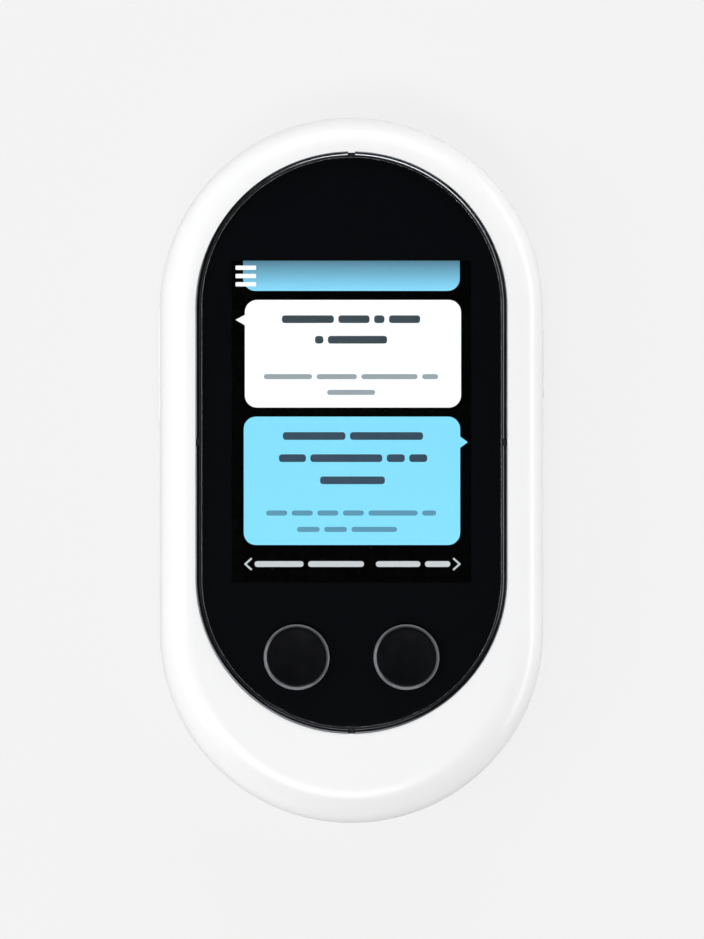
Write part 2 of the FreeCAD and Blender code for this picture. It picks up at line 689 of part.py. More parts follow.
def battery_bay(root):
    """A low rib frame round the battery, open at the top end for its lead."""
    inner_x = BATTERY_X + BATTERY_GAP
    low_y = BATTERY_CHIN_Y - BATTERY_GAP
    high_y = BATTERY_TOP_Y + BATTERY_GAP
    level = (root, WALL + BAY_RIB_HEIGHT)
    frame = block(
        (-inner_x - BAY_RIB, inner_x + BAY_RIB), (low_y - BAY_RIB, high_y + BAY_RIB), level
    )
    bay = block((-inner_x, inner_x), (low_y, high_y), (root - OVERCUT, level[1] + OVERCUT))
    lead_gap = block((-LEAD_WIDTH, LEAD_WIDTH), (high_y - OVERCUT, high_y + 2 * BAY_RIB), (WALL, LIP))
    inside = stadium(INNER_WIDTH, INNER_LENGTH, root, PARTING)
    return [frame.cut([bay, lead_gap]).common(inside)]


def speaker_seats(root):
    """Cross ribs that each speaker stands on, and end ribs that keep it in place."""
    reach = (SPEAKER_X - SPEAKER_DEPTH - 2 * ROOT, SPEAKER_X - 2 * ROOT)
    half = SEAT_RIB / 2
    ribs = []
    for side in (-1, 1):
        across = mirrored_pair(*reach, side)
        for share in (0.2, 0.8):
            y = SPEAKER_CHIN_Y + share * SPEAKER_LENGTH
            ribs.append(block(across, (y - half, y + half), (root, SPEAKER_SEAT)))
        for y in (SPEAKER_CHIN_Y - SEAT_END_GAP, SPEAKER_TOP_Y + SEAT_END_GAP + BAY_RIB):
            ribs.append(block(across, (y - BAY_RIB, y), (root, SPEAKER_SEAT + SEAT_END_RISE)))
    return ribs


# Glass, print and trim


def bezel_frame():
    """Black frame in the groove: the trim sits on it, and its four keys fill the trim's gaps."""
    base = stadium(TRIM_OUTER_WIDTH, TRIM_OUTER_LENGTH, DECK_TOP, TRIM_SEAT, GLASS_Y)
    grow = 2 * LENS_FIT
    through = (DECK_TOP - OVERCUT, LIP + OVERCUT)
    bore = stadium(LENS_WIDTH + grow, LENS_LENGTH + grow, *through, GLASS_Y)
    ring = trim_band(TRIM_TOP - GAP_KEY_DROP)
    keys = [ring.common(gap) for gap in trim_gaps(GAP_KEY_FIT)]
    frame = joined(base.cut(bore), keys)
    ports = [post(GAP_PORT_RADIUS, *through, 0, y) for y in (MIC_TOP_Y, MIC_CHIN_Y)]
    return frame.cut(ports)


def trim_band(top):
    """The full loop that the trim is cut from, up to a given top."""
    outer = stadium(TRIM_OUTER_WIDTH, TRIM_OUTER_LENGTH, TRIM_SEAT, top, GLASS_Y)
    shrink = 2 * TRIM_WIDTH
    inner = stadium(
        TRIM_OUTER_WIDTH - shrink, TRIM_OUTER_LENGTH - shrink, TRIM_SEAT, top, GLASS_Y
    )
    return outer.cut(inner)


def trim_gaps(shrink=0.0):
    """Blocks over the four gaps of the trim: top, chin, left and right."""
    half = TRIM_GAP / 2 - shrink
    level = (DECK_TOP, LIP + OVERCUT)
    reach = BODY_WIDTH / 2
    across = TRIM_OUTER_WIDTH / 4
    return [
        block((-half, half), (GLASS_Y, BODY_LENGTH / 2), level),
        block((-half, half), (-BODY_LENGTH / 2, GLASS_Y), level),
        block((across, reach), (GLASS_Y - half, GLASS_Y + half), level),
        block((-reach, -across), (GLASS_Y - half, GLASS_Y + half), level),
    ]


def trim_quarter(side, end):
    """One of the four trim pieces: side 1 is right, end 1 is the top."""
    band = chamfered(trim_band(TRIM_TOP), TRIM_CHAMFER, TRIM_TOP)
    half = TRIM_GAP / 2
    across = mirrored_pair(half, BODY_WIDTH / 2, side)
    if end > 0:
        along = (GLASS_Y + half, BODY_LENGTH / 2)
    else:
        along = (-BODY_LENGTH / 2, GLASS_Y - half)
    return band.common(block(across, along, (DECK_TOP, THICKNESS)))


def talk_holes(radius, low, high):
    return [post(radius, low, high, side * TALK_X, TALK_Y) for side in (-1, 1)]


def cover_lens():
    glass = stadium(LENS_WIDTH, LENS_LENGTH, PRINT_TOP, THICKNESS, GLASS_Y)
    glass = chamfered(glass, LENS_CHAMFER, THICKNESS)
    radius = TALK_RING_RADIUS + TALK_LENS_GAP
    return glass.cut(talk_holes(radius, PRINT_TOP - OVERCUT, THICKNESS + OVERCUT))


def lens_mask():
    """The black print on the back of the glass, with the screen window."""
    sheet = stadium(LENS_WIDTH - SLIP, LENS_LENGTH - SLIP, SENSOR_TOP, PRINT_TOP, GLASS_Y)
    window = block(
        (-SCREEN_X, SCREEN_X), (SCREEN_CHIN_Y, SCREEN_TOP_Y), (SENSOR_TOP - OVERCUT, PRINT_TOP + OVERCUT)
    )
    radius = TALK_RING_RADIUS + TALK_LENS_GAP
    return sheet.cut([window] + talk_holes(radius, SENSOR_TOP - OVERCUT, PRINT_TOP + OVERCUT))


def touch_sensor():
    return block(
        (-PANEL_X, PANEL_X), (PANEL_CHIN_Y, PANEL_TOP_Y), (DECK_TOP, SENSOR_TOP)
    )


def lens_adhesive():
    """The tape frame that holds the glass down on the deck, round the sensor."""
    shrink = 2 * ADHESIVE_MARGIN
    sheet = stadium(LENS_WIDTH - shrink, LENS_LENGTH - shrink, DECK_TOP, SENSOR_TOP, GLASS_Y)
    gap = DISPLAY_GAP + TRAY_WALL
    window = block(
        (-PANEL_X - gap, PANEL_X + gap),
        (PANEL_CHIN_Y - gap, PANEL_TOP_Y + gap),
        (DECK_TOP - OVERCUT, SENSOR_TOP + OVERCUT),
    )
    radius = TALK_RING_RADIUS + 2 * TALK_LENS_GAP
    return sheet.cut([window] + talk_holes(radius, DECK_TOP - OVERCUT, SENSOR_TOP + OVERCUT))


# Display


def lcd_panel():
    return block(
        (-PANEL_X, PANEL_X), (PANEL_CHIN_Y, PANEL_TOP_Y), (PANEL_BOTTOM, DECK_TOP)
    )


def backlight_frame():
    tray = block((-TRAY_X, TRAY_X), (TRAY_CHIN_Y, TRAY_TOP_Y), (TRAY_BOTTOM, TRAY_TOP))
    bay = block(
        (-PANEL_X, PANEL_X), (PANEL_CHIN_Y, PANEL_TOP_Y), (PANEL_BOTTOM, DECK_TOP)
    )
    half = FLEX_TAIL_WIDTH
    notch = block(
        (-half - EASE, half + EASE),
        (TRAY_CHIN_Y - OVERCUT, PANEL_CHIN_Y + SLIP),
        (PANEL_BOTTOM, TRAY_TOP + OVERCUT),
    )
    return tray.cut([bay, notch])


def display_foam():
    return block(
        (-TRAY_X + FOAM_INSET, TRAY_X - FOAM_INSET),
        PROCESSOR_Y,
        (SHIELD_TOP, TRAY_BOTTOM),
    )


def lcd_flex():
    """A ribbon that leaves the panel's chin edge, turns under it and lies on its connector."""
    high = PANEL_BOTTOM + EASE
    low = CONNECTOR_TOP
    outer = (high - low) / 2 + FLEX_THICKNESS / 2
    middle = Vector(0, TRAY_CHIN_Y + FLEX_TURN_INSET, (high + low) / 2)
    half = FLEX_TAIL_WIDTH
    bend = Part.makeCylinder(outer, 2 * half, middle - Vector(half, 0, 0), Vector(1, 0, 0))
    inner = Part.makeCylinder(
        outer - FLEX_THICKNESS,
        2 * (half + OVERCUT),
        middle - Vector(half + OVERCUT, 0, 0),
        Vector(1, 0, 0),
    )
    front_half = block((-half, half), (middle.y - 2 * outer, middle.y), (0, LIP))
    bend = bend.cut(inner).common(front_half)
    top_z = middle.z + outer
    upper = block((-half, half), (middle.y, PANEL_CHIN_Y), (top_z - FLEX_THICKNESS, top_z))
    low_z = middle.z - outer
    lower = block((-half, half), (middle.y, CONNECTOR_Y[1]), (low_z, low_z + FLEX_THICKNESS))
    return joined(bend, [upper, lower])


# Talk buttons


def talk_ring(side):
    """The thin metal ring in the glass, its top sloping in towards the cap."""
    slope_foot = THICKNESS - TALK_RING_DEPTH
    points = [
        (TALK_BORE_RADIUS, DECK_TOP),
        (TALK_RING_RADIUS, DECK_TOP),
        (TALK_RING_RADIUS, THICKNESS),
        (TALK_RING_RADIUS - TALK_RING_LAND, THICKNESS),
        (TALK_BORE_RADIUS, slope_foot),
    ]
    return turned(points, side * TALK_X, TALK_Y)


def talk_cap(side):
    """A dished cap with a flange that the deck holds back, and a stem down to the dome.

    The dish is two shallow cones, within a few hundredths of a millimetre of a round one.
    """
    flange_bottom = TALK_FLANGE_TOP - TALK_FLANGE_THICKNESS
    stem_end = BOARD_TOP + DOME_HEIGHT + DOME_GAP
    edge = TALK_CAP_RADIUS - TALK_EDGE
    outline = [
        (0, TALK_CAP_TOP - TALK_DISH),
        (0, stem_end),
        (TALK_STEM_RADIUS, stem_end),
        (TALK_STEM_RADIUS, flange_bottom),
        (TALK_FLANGE_RADIUS, flange_bottom),
        (TALK_FLANGE_RADIUS, TALK_FLANGE_TOP),
        (TALK_CAP_RADIUS, TALK_FLANGE_TOP),
        (TALK_CAP_RADIUS, TALK_CAP_TOP - TALK_EDGE),
        (edge, TALK_CAP_TOP),
        (edge / 2, TALK_CAP_TOP - 0.75 * TALK_DISH),
    ]
    return turned(outline, side * TALK_X, TALK_Y)


def dome(radius, height):
    """A snap dome with a flat crown, standing on the level plane at the origin."""
    crown = radius * DOME_CROWN
    return turned([(0, 0), (radius, 0), (crown, height), (0, height)])


def talk_dome(side):
    shape = dome(DOME_RADIUS, DOME_HEIGHT)
    shape.translate(Vector(side * TALK_X, TALK_Y, BOARD_TOP))
    return shape


# Side keys, built on the right and mirrored for the left


def key_body(length, flange_gap):
    """The pill that shows in the wall, and the flange behind the wall."""
    flange_x = INNER_X - flange_gap
    pill = side_pill(length, KEY_HEIGHT, flange_x - SLIP, KEY_FACE_X, KEY_Y, BAND_MIDDLE)
    face_edges = [edge for edge in pill.Edges if edge.BoundBox.XMin > KEY_FACE_X - 1e-6]
    pill = pill.makeChamfer(KEY_EDGE, face_edges)
    half = length / 2 + KEY_FLANGE_OVERHANG
    rise = KEY_HEIGHT / 2 + KEY_FLANGE_OVERHANG
    low = max(BAND_MIDDLE - rise, PARTING + EASE)
    flange = block(
        (flange_x - KEY_FLANGE_THICKNESS, flange_x),
        (KEY_Y - half, KEY_Y + half),
        (low, BAND_MIDDLE + rise),
    )
    return pill, flange


def key_foot(start_x, y):
    """A square foot that reaches in to a dome."""
    half = KEY_FOOT_WIDTH / 2
    return block(
        (FLEX_FACE_X + KEY_DOME_HEIGHT + DOME_GAP, start_x),
        (y - half, y + half),
        (BAND_MIDDLE - half, BAND_MIDDLE + half),
    )


def power_key():
    pill, flange = key_body(POWER_LENGTH, POWER_FLANGE_GAP)
    start = INNER_X - POWER_FLANGE_GAP
    return joined(pill, [flange, key_foot(start, KEY_Y)])


def volume_key():
    """A rocker: two feet, and between them a round nub that it rocks on."""
    pill, flange = key_body(VOLUME_LENGTH, VOLUME_FLANGE_GAP)
    start = INNER_X - VOLUME_FLANGE_GAP
    feet = [key_foot(start, KEY_Y + way * VOLUME_FOOT_REACH) for way in (-1, 1)]
    nub_radius = PIVOT_X - FLEX_FACE_X - NUB_GAP
    nub_half = KEY_HEIGHT / 2 - NUB_INSET
    nub = post(nub_radius, BAND_MIDDLE - nub_half, BAND_MIDDLE + nub_half, PIVOT_X, KEY_Y)
    return mirrored(joined(pill, [flange, nub] + feet))


def key_dome(side, y):
    shape = dome(KEY_DOME_RADIUS, KEY_DOME_HEIGHT)
    shape.rotate(Vector(), Vector(0, 1, 0), 90)
    shape.translate(Vector(FLEX_FACE_X, y, BAND_MIDDLE))
    return on_side(shape, side)


def key_bracket(side, length):
    """A stiff steel plate in the slots of the ribs, which takes the push of the key."""
    half = length / 2 + KEY_FLANGE_OVERHANG + BRACKET_MARGIN - ROOT
    plate = block(
        (BRACKET_BACK_X, BRACKET_FACE_X),
        (KEY_Y - half, KEY_Y + half),
        (BRACKET_BOTTOM, BRACKET_TOP),
    )
    return on_side(plate, side)


def key_flex(side, length):
    """The flex on the bracket, with a tail over its top edge to the board."""
    half = length / 2 + KEY_FLANGE_OVERHANG + EASE
    sheet = (BRACKET_FACE_X, FLEX_FACE_X)
    tail_reach = (FLEX_FACE_X - FLEX_TAIL_REACH, FLEX_FACE_X)
    tail_span = (KEY_Y - FLEX_TAIL_WIDTH / 2, KEY_Y + FLEX_TAIL_WIDTH / 2)
    tail_level = (BOARD_TOP + ROOT, BOARD_TOP + ROOT + FLEX_THICKNESS)
    strip = block(sheet, (KEY_Y - half, KEY_Y + half), (BRACKET_BOTTOM, BRACKET_TOP))
    riser = block(sheet, tail_span, (BRACKET_TOP - SLIP, tail_level[1]))
    tail = block(tail_reach, tail_span, tail_level)
    return on_side(joined(strip, [riser, tail]), side)


# Main board


def main_board():
    shrink = 2 * BOARD_EDGE_GAP
    board = stadium(INNER_WIDTH - shrink, INNER_LENGTH - shrink, BOARD_BOTTOM, BOARD_TOP)
    level = (BOARD_BOTTOM - OVERCUT, BOARD_TOP + OVERCUT)
    cuts = []
    for side, length in ((1, POWER_LENGTH), (-1, VOLUME_LENGTH)):
        half = length / 2 + KEY_FLANGE_OVERHANG + BRACKET_MARGIN + EASE
        across = mirrored_pair(RIB_BACK_X - EASE, INNER_X, side)
        cuts.append(block(across, (KEY_Y - half, KEY_Y + half), level))
    for x, y in CASE_SCREW_PLACES:
        cuts.append(post(BOSS_RADIUS + BOARD_HOLE_GAP, *level, x, y))
    for x, y in BOARD_SCREW_PLACES:
        cuts.append(post(BOARD_SHANK_RADIUS + CASE_SHANK_GAP, *level, x, y))
    half = USB_WIDTH / 2 + CASE_SHANK_GAP
    cuts.append(block((-half, half), (-BODY_LENGTH / 2, USB_REAR_Y + ROOT), level))
    return board.cut(cuts)


def shield(x, y):
    """A drawn steel can, soldered over its chips."""
    can = block(x, y, (BOARD_TOP, SHIELD_TOP))
    skin = SHIELD_SKIN
    inside = block(
        (x[0] + skin, x[1] - skin),
        (y[0] + skin, y[1] - skin),
        (BOARD_TOP - OVERCUT, SHIELD_TOP - skin),
    )
    return can.cut(inside)


def board_chips():
    """Chips and small connectors, each a separate solid, placed by shares of their field."""
    room = SHIELD_HEIGHT - SHIELD_SKIN
    fields = {
        (PROCESSOR_X, PROCESSOR_Y): [
            (0.31, 0.5, 0.46, 0.55, 0.65),
            (0.77, 0.65, 0.33, 0.45, 0.6),
            (0.77, 0.2, 0.25, 0.22, 0.55),
        ],
        (RADIO_X, RADIO_Y): [
            (0.35, 0.5, 0.4, 0.45, 0.65),
            (0.77, 0.7, 0.22, 0.25, 0.55),
            (0.77, 0.3, 0.17, 0.17, 0.55),
        ],
        (CHIP_STRIP_X, PROCESSOR_Y): [
            (0.34, 0.7, 0.34, 0.26, 0.6),
            (0.34, 0.25, 0.27, 0.2, 0.6),
        ],
        (CHIP_STRIP_X, RADIO_Y): [(0.3, 0.5, 0.4, 0.3, 0.6)],
    }
    chips = []
    for (x, y), places in fields.items():
        wide = x[1] - x[0]
        deep = y[1] - y[0]
        for x_share, y_share, wide_share, deep_share, tall_share in places:
            middle_x = x[0] + x_share * wide
            middle_y = y[0] + y_share * deep
            half_x = wide_share * wide / 2
            half_y = deep_share * deep / 2
            across = (middle_x - half_x, middle_x + half_x)
            along = (middle_y - half_y, middle_y + half_y)
            chips.append(block(across, along, (BOARD_TOP, BOARD_TOP + tall_share * room)))
    half = FLEX_TAIL_WIDTH / 2
    for side in (-1, 1):
        across = mirrored_pair(TAIL_END_X, TAIL_END_X + PAD_LENGTH, side)
        chips.append(block(across, (KEY_Y - half, KEY_Y + half), (BOARD_TOP, BOARD_TOP + ROOT)))
    return Part.makeCompound(chips)


def display_connector():
    half = FLEX_TAIL_WIDTH + CONNECTOR_MARGIN
    return block((-half, half), CONNECTOR_Y, (BOARD_TOP, CONNECTOR_TOP - FLEX_THICKNESS / 2))


def usb_shell():
    """The receptacle's drawn shell, with two flanges a side soldered under the board."""
    outer = end_pill(USB_WIDTH, USB_HEIGHT, USB_MOUTH_Y, USB_REAR_Y, USB_MIDDLE)
    shrink = 2 * USB_SKIN
    inner = end_pill(
        USB_WIDTH - shrink,
        USB_HEIGHT - shrink,
        USB_MOUTH_Y - OVERCUT,
        USB_REAR_Y - USB_PLUG,
        USB_MIDDLE,
    )
    flanges = []
    for side in (-1, 1):
        for y in (USB_MOUTH_Y + USB_FLANGE_START, USB_REAR_Y - USB_FLANGE_LENGTH - EASE):
            across = mirrored_pair(USB_WIDTH / 2 - EASE, USB_WIDTH / 2 + USB_FLANGE_REACH, side)
            along = (y, y + USB_FLANGE_LENGTH)
            flanges.append(block(across, along, (BOARD_BOTTOM - USB_SKIN, BOARD_BOTTOM)))
    return joined(outer, flanges).cut(inner)


def usb_tongue():
    """The contact tongue in the middle of the receptacle."""
    half = USB_TONGUE_WIDTH / 2
    start = USB_REAR_Y - USB_PLUG
    thick = USB_TONGUE_THICKNESS / 2
    return block(
        (-half, half), (start - USB_TONGUE_LENGTH, start), (USB_MIDDLE - thick, USB_MIDDLE + thick)
    )


def sim_socket():
    """The steel socket under the board, open towards the side wall."""
    half = SIM_TRAY_WIDTH / 2 + SIM_TRAY_GAP + SIM_SOCKET_SKIN
    back_x = SIM_TRAY_END_X - SIM_BACK_GAP
    low = BOARD_BOTTOM - SIM_SOCKET_HEIGHT
    shell = block((back_x, SIM_SOCKET_MOUTH_X), (SIM_Y - half, SIM_Y + half), (low, BOARD_BOTTOM))
    skin = SIM_SOCKET_SKIN
    hollow = block(
        (back_x + skin, SIM_SOCKET_MOUTH_X + OVERCUT),
        (SIM_Y - half + skin, SIM_Y + half - skin),
        (low + skin, BOARD_BOTTOM - skin),
    )
    return shell.cut(hollow)


def sim_tray():
    """A framed tray with a thumbnail notch in its end plate."""
    half = SIM_TRAY_WIDTH / 2
    thick = SIM_TRAY_THICKNESS / 2
    level = (SIM_MIDDLE - thick, SIM_MIDDLE + thick)
    plate = side_pill(
        SIM_PLATE_LENGTH, SIM_PLATE_HEIGHT, INNER_X, BODY_WIDTH / 2, SIM_Y, SIM_MIDDLE
    )
    blade = block((SIM_TRAY_END_X, INNER_X + ROOT), (SIM_Y - half, SIM_Y + half), level)
    start = SIM_TRAY_END_X + SIM_FRAME
    reach = SIM_CARD_LENGTH + 2 * SIM_CARD_GAP
    card_half = SIM_CARD_WIDTH / 2 + SIM_CARD_GAP
    floor = level[1] - SIM_CARD_THICKNESS - SIM_CARD_LIFT
    bay = block((start, start + reach), (SIM_Y - card_half, SIM_Y + card_half), (floor, LIP))
    window = block(
        (start + SIM_LEDGE, start + reach - SIM_LEDGE),
        (SIM_Y - card_half + SIM_LEDGE, SIM_Y + card_half - SIM_LEDGE),
        (0, LIP),
    )
    nail_x = BODY_WIDTH / 2 + SIM_NAIL_RADIUS - SIM_NAIL_DEPTH
    nail = post(SIM_NAIL_RADIUS, 0, SIM_MIDDLE, nail_x, SIM_Y)
    return joined(plate, [blade]).cut([bay, window, nail])


def sim_card():
    start = SIM_TRAY_END_X + SIM_FRAME + SIM_CARD_GAP
    half = SIM_CARD_WIDTH / 2
    top = SIM_MIDDLE + SIM_TRAY_THICKNESS / 2
    card = block(
        (start, start + SIM_CARD_LENGTH),
        (SIM_Y - half, SIM_Y + half),
        (top - SIM_CARD_THICKNESS, top),
    )
    corner = [
        edge
        for edge in card.Edges
        if edge.BoundBox.XMax < start + 0.01 and edge.BoundBox.YMin > SIM_Y + half - 0.01
    ]
    return card.makeChamfer(SIM_CARD_CORNER, corner)


# Battery, sound and radio


def battery_cell():
    """The pouch with rounded long edges, and the lower terrace that holds its safety board."""
    body = block(
        (-BATTERY_X, BATTERY_X),
        (BATTERY_CHIN_Y, BATTERY_TOP_Y - BATTERY_TERRACE),
        (BATTERY_BOTTOM, BATTERY_TOP),
    )
    long_edges = [edge for edge in body.Edges if edge.BoundBox.YLength > BATTERY_X]
    body = body.makeFillet(BATTERY_EDGE, long_edges)
    terrace = block(
        (-BATTERY_X + BATTERY_EDGE, BATTERY_X - BATTERY_EDGE),
        (BATTERY_TOP_Y - BATTERY_TERRACE - ROOT, BATTERY_TOP_Y),
        (BATTERY_BOTTOM + TERRACE_STEP, BATTERY_TOP - TERRACE_DROP),
    )
    return joined(body, [terrace])


def battery_tape():
    return block(
        (-BATTERY_X + TAPE_INSET, BATTERY_X - TAPE_INSET),
        (BATTERY_CHIN_Y + TAPE_INSET, BATTERY_TOP_Y - BATTERY_TERRACE - TAPE_INSET),
        (WALL, BATTERY_BOTTOM),
    )


def battery_lead():
    """A flat lead from the safety board up to its plug under the main board."""
    half = LEAD_WIDTH / 2
    low = BATTERY_TOP - TERRACE_DROP
    plug_low = BOARD_BOTTOM - PLUG_HEIGHT
    turn = BATTERY_TOP_Y + LEAD_REACH
    foot = (BATTERY_TOP_Y - LEAD_REACH, turn)
    upright = (turn - LEAD_THICKNESS, turn)
    lead = block((-half, half), foot, (low, low + LEAD_THICKNESS))
    rise = block((-half, half), upright, (low, plug_low + LEAD_THICKNESS))
    over = (turn - LEAD_THICKNESS, turn + LEAD_REACH)
    reach = block((-half, half), over, (plug_low, plug_low + LEAD_THICKNESS))
    plug_x = (-half - PLUG_MARGIN, half + PLUG_MARGIN)
    plug_y = (over[1] - ROOT, over[1] - ROOT + PLUG_LENGTH)
    plug = block(plug_x, plug_y, (plug_low, BOARD_BOTTOM))
    return joined(lead, [rise, reach, plug])


def speaker(side):
    """A slim box speaker on edge, its mouth towards the holes in the wall."""
    body = block(
        (SPEAKER_X - SPEAKER_DEPTH, SPEAKER_X),
        (SPEAKER_CHIN_Y, SPEAKER_TOP_Y),
        (SPEAKER_SEAT, SPEAKER_TOP),
    )
    frame = 2 * SPEAKER_FRAME
    mouth = block(
        (SPEAKER_X - SPEAKER_MOUTH_DEPTH, SPEAKER_X + OVERCUT),
        (SPEAKER_CHIN_Y + frame, SPEAKER_TOP_Y - frame),
        (SPEAKER_SEAT + frame, SPEAKER_TOP - SPEAKER_FRAME),
    )
    return on_side(body.cut(mouth), side)


def speaker_gasket(side):
    """A foam frame that seals the speaker to the wall round the holes."""
    low_x = SPEAKER_X
    high_x = SPEAKER_X + GASKET_THICKNESS
    frame = SPEAKER_FRAME
    low = SPEAKER_SEAT + GASKET_STEP
    pad = block((low_x, high_x), (SPEAKER_CHIN_Y, SPEAKER_TOP_Y), (low, SPEAKER_TOP))
    mouth = block(
        (low_x - OVERCUT, high_x + OVERCUT),
        (SPEAKER_CHIN_Y + frame, SPEAKER_TOP_Y - frame),
        (low + frame, SPEAKER_TOP - frame / 2),
    )
    return on_side(pad.cut(mouth), side)


def speaker_mesh(side):
    """A fine dust cloth between the gasket and the wall."""
    low_x = SPEAKER_X + GASKET_THICKNESS
    sheet = block(
        (low_x, low_x + MESH_THICKNESS),
        (SPEAKER_CHIN_Y, SPEAKER_TOP_Y),
        (SPEAKER_SEAT + GASKET_STEP, SPEAKER_TOP),
    )
    return on_side(sheet, side)


def microphone(y, inward):
    """A surface mounted microphone, its port under the hole in the deck."""
    shift = inward * (MIC_LENGTH / 2 - MIC_GASKET_HALF)
    body = block(
        (-MIC_WIDTH / 2, MIC_WIDTH / 2),
        (y + shift - MIC_LENGTH / 2, y + shift + MIC_LENGTH / 2),
        (BOARD_TOP, BOARD_TOP + MIC_HEIGHT),
    )
    port = post(MIC_HOLE_RADIUS / 2, BOARD_TOP + MIC_HEIGHT / 2, LIP, 0, y)
    return body.cut(port)


def mic_gasket(y):
    """A square rubber boot from the microphone up to the deck."""
    low = BOARD_TOP + MIC_HEIGHT
    half = MIC_GASKET_HALF
    boot = block((-half, half), (y - half, y + half), (low, DECK_UNDER))
    return boot.cut(post(MIC_HOLE_RADIUS, low - OVERCUT, DECK_UNDER + OVERCUT, 0, y))


def antenna(end, first_degrees, last_degrees):
    """A flex antenna stuck to the inside of a round end wall."""
    radius = INNER_X - ANTENNA_GAP
    low = PARTING + TONGUE_HEIGHT + EASE
    points = [
        Vector(radius - ANTENNA_THICKNESS, 0, low),
        Vector(radius, 0, low),
        Vector(radius, 0, min(low + ANTENNA_HEIGHT, BAND_TOP)),
        Vector(radius - ANTENNA_THICKNESS, 0, min(low + ANTENNA_HEIGHT, BAND_TOP)),
    ]
    profile = Part.Face(Part.makePolygon(points + points[:1]))
    strip = profile.revolve(Vector(), Vector(0, 0, 1), last_degrees - first_degrees)
    strip.rotate(Vector(), Vector(0, 0, 1), first_degrees)
    strip.translate(Vector(0, end * STRAIGHT_Y, 0))
    return strip


# Screws


def case_screws():
    """Four long screws, head under the glass, thread in the rear cover."""
    screws = []
    seat = DECK_TOP - CASE_HEAD_HEIGHT - CASE_HEAD_GAP
    for x, y in CASE_SCREW_PLACES:
        head = post(CASE_HEAD_RADIUS, seat, seat + CASE_HEAD_HEIGHT, x, y)
        shank = post(CASE_SHANK_RADIUS, seat - CASE_SHANK_LENGTH, seat, x, y)
        screws.append(joined(head, [shank]))
    return Part.makeCompound(screws)


def board_screws():
    """Short screws up through the board into the posts of the deck."""
    screws = []
    for x, y in BOARD_SCREW_PLACES:
        head = post(BOARD_HEAD_RADIUS, BOARD_BOTTOM - BOARD_HEAD_HEIGHT, BOARD_BOTTOM, x, y)
        shank = post(BOARD_SHANK_RADIUS, BOARD_BOTTOM, BOARD_BOTTOM + BOARD_SHANK_LENGTH, x, y)
        screws.append(joined(head, [shank]))
    return Part.makeCompound(screws)


SIDES = {"left": -1, "right": 1}
ENDS = {"top": 1, "bottom": -1}


def all_pieces():
    pieces = {
        "front_housing": front_housing(),
        "rear_cover": rear_cover(),
        "bezel_frame": bezel_frame(),
        "cover_lens": cover_lens(),
        "lens_mask": lens_mask(),
        "touch_sensor": touch_sensor(),
        "lens_adhesive": lens_adhesive(),
        "lcd_panel": lcd_panel(),
        "backlight_frame": backlight_frame(),
        "display_foam": display_foam(),
        "lcd_flex": lcd_flex(),
        "display_connector": display_connector(),
        "power_key": power_key(),
        "volume_key": volume_key(),
        "power_dome": key_dome(1, KEY_Y),
        "volume_dome_up": key_dome(-1, KEY_Y + VOLUME_FOOT_REACH),
        "volume_dome_down": key_dome(-1, KEY_Y - VOLUME_FOOT_REACH),
        "power_key_bracket": key_bracket(1, POWER_LENGTH),
        "volume_key_bracket": key_bracket(-1, VOLUME_LENGTH),
        "power_key_flex": key_flex(1, POWER_LENGTH),
        "volume_key_flex": key_flex(-1, VOLUME_LENGTH),
        "main_board": main_board(),
        "processor_shield": shield(PROCESSOR_X, PROCESSOR_Y),
        "radio_shield": shield(RADIO_X, RADIO_Y),
        "board_chips": board_chips(),
        "usb_shell": usb_shell(),
        "usb_tongue": usb_tongue(),
        "sim_socket": sim_socket(),
        "sim_tray": sim_tray(),
        "sim_card": sim_card(),
        "battery_cell": battery_cell(),
        "battery_tape": battery_tape(),
        "battery_lead": battery_lead(),
        "microphone_top": microphone(MIC_TOP_Y, -1),
        "microphone_bottom": microphone(MIC_CHIN_Y, 1),
        "mic_gasket_top": mic_gasket(MIC_TOP_Y),
        "mic_gasket_bottom": mic_gasket(MIC_CHIN_Y),
        "cellular_antenna": antenna(1, 40, 140),
        "wifi_antenna": antenna(-1, 195, 240),
        "case_screws": case_screws(),
        "board_screws": board_screws(),
    }
    for side_name, side in SIDES.items():
        pieces["talk_cap_" + side_name] = talk_cap(side)
        pieces["talk_ring_" + side_name] = talk_ring(side)
        pieces["talk_dome_" + side_name] = talk_dome(side)
        pieces["speaker_" + side_name] = speaker(side)
        pieces["speaker_gasket_" + side_name] = speaker_gasket(side)
        pieces["speaker_mesh_" + side_name] = speaker_mesh(side)
        for end_name, end in ENDS.items():
            pieces["trim_" + end_name + "_" + side_name] = trim_quarter(side, end)
    return pieces


os.makedirs("parts", exist_ok=True)
for piece_name, piece_shape in all_pieces().items():
    piece_shape.exportStep(os.path.join("parts", piece_name + ".step"))
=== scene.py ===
import math

import bmesh
import bpy
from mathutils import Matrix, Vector


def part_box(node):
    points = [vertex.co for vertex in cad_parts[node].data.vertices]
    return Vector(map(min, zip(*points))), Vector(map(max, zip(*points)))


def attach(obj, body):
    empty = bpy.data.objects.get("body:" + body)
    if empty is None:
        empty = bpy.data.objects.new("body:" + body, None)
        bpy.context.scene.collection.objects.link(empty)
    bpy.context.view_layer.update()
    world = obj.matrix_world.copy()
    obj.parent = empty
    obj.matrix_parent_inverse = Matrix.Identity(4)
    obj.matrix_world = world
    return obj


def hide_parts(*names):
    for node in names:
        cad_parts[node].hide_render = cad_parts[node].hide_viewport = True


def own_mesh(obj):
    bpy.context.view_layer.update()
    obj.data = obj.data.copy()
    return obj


# Handheld translator. It lies on its back under a camera that looks straight down at the glass.
# Sizes below are real millimetres, and MM turns them to metres.

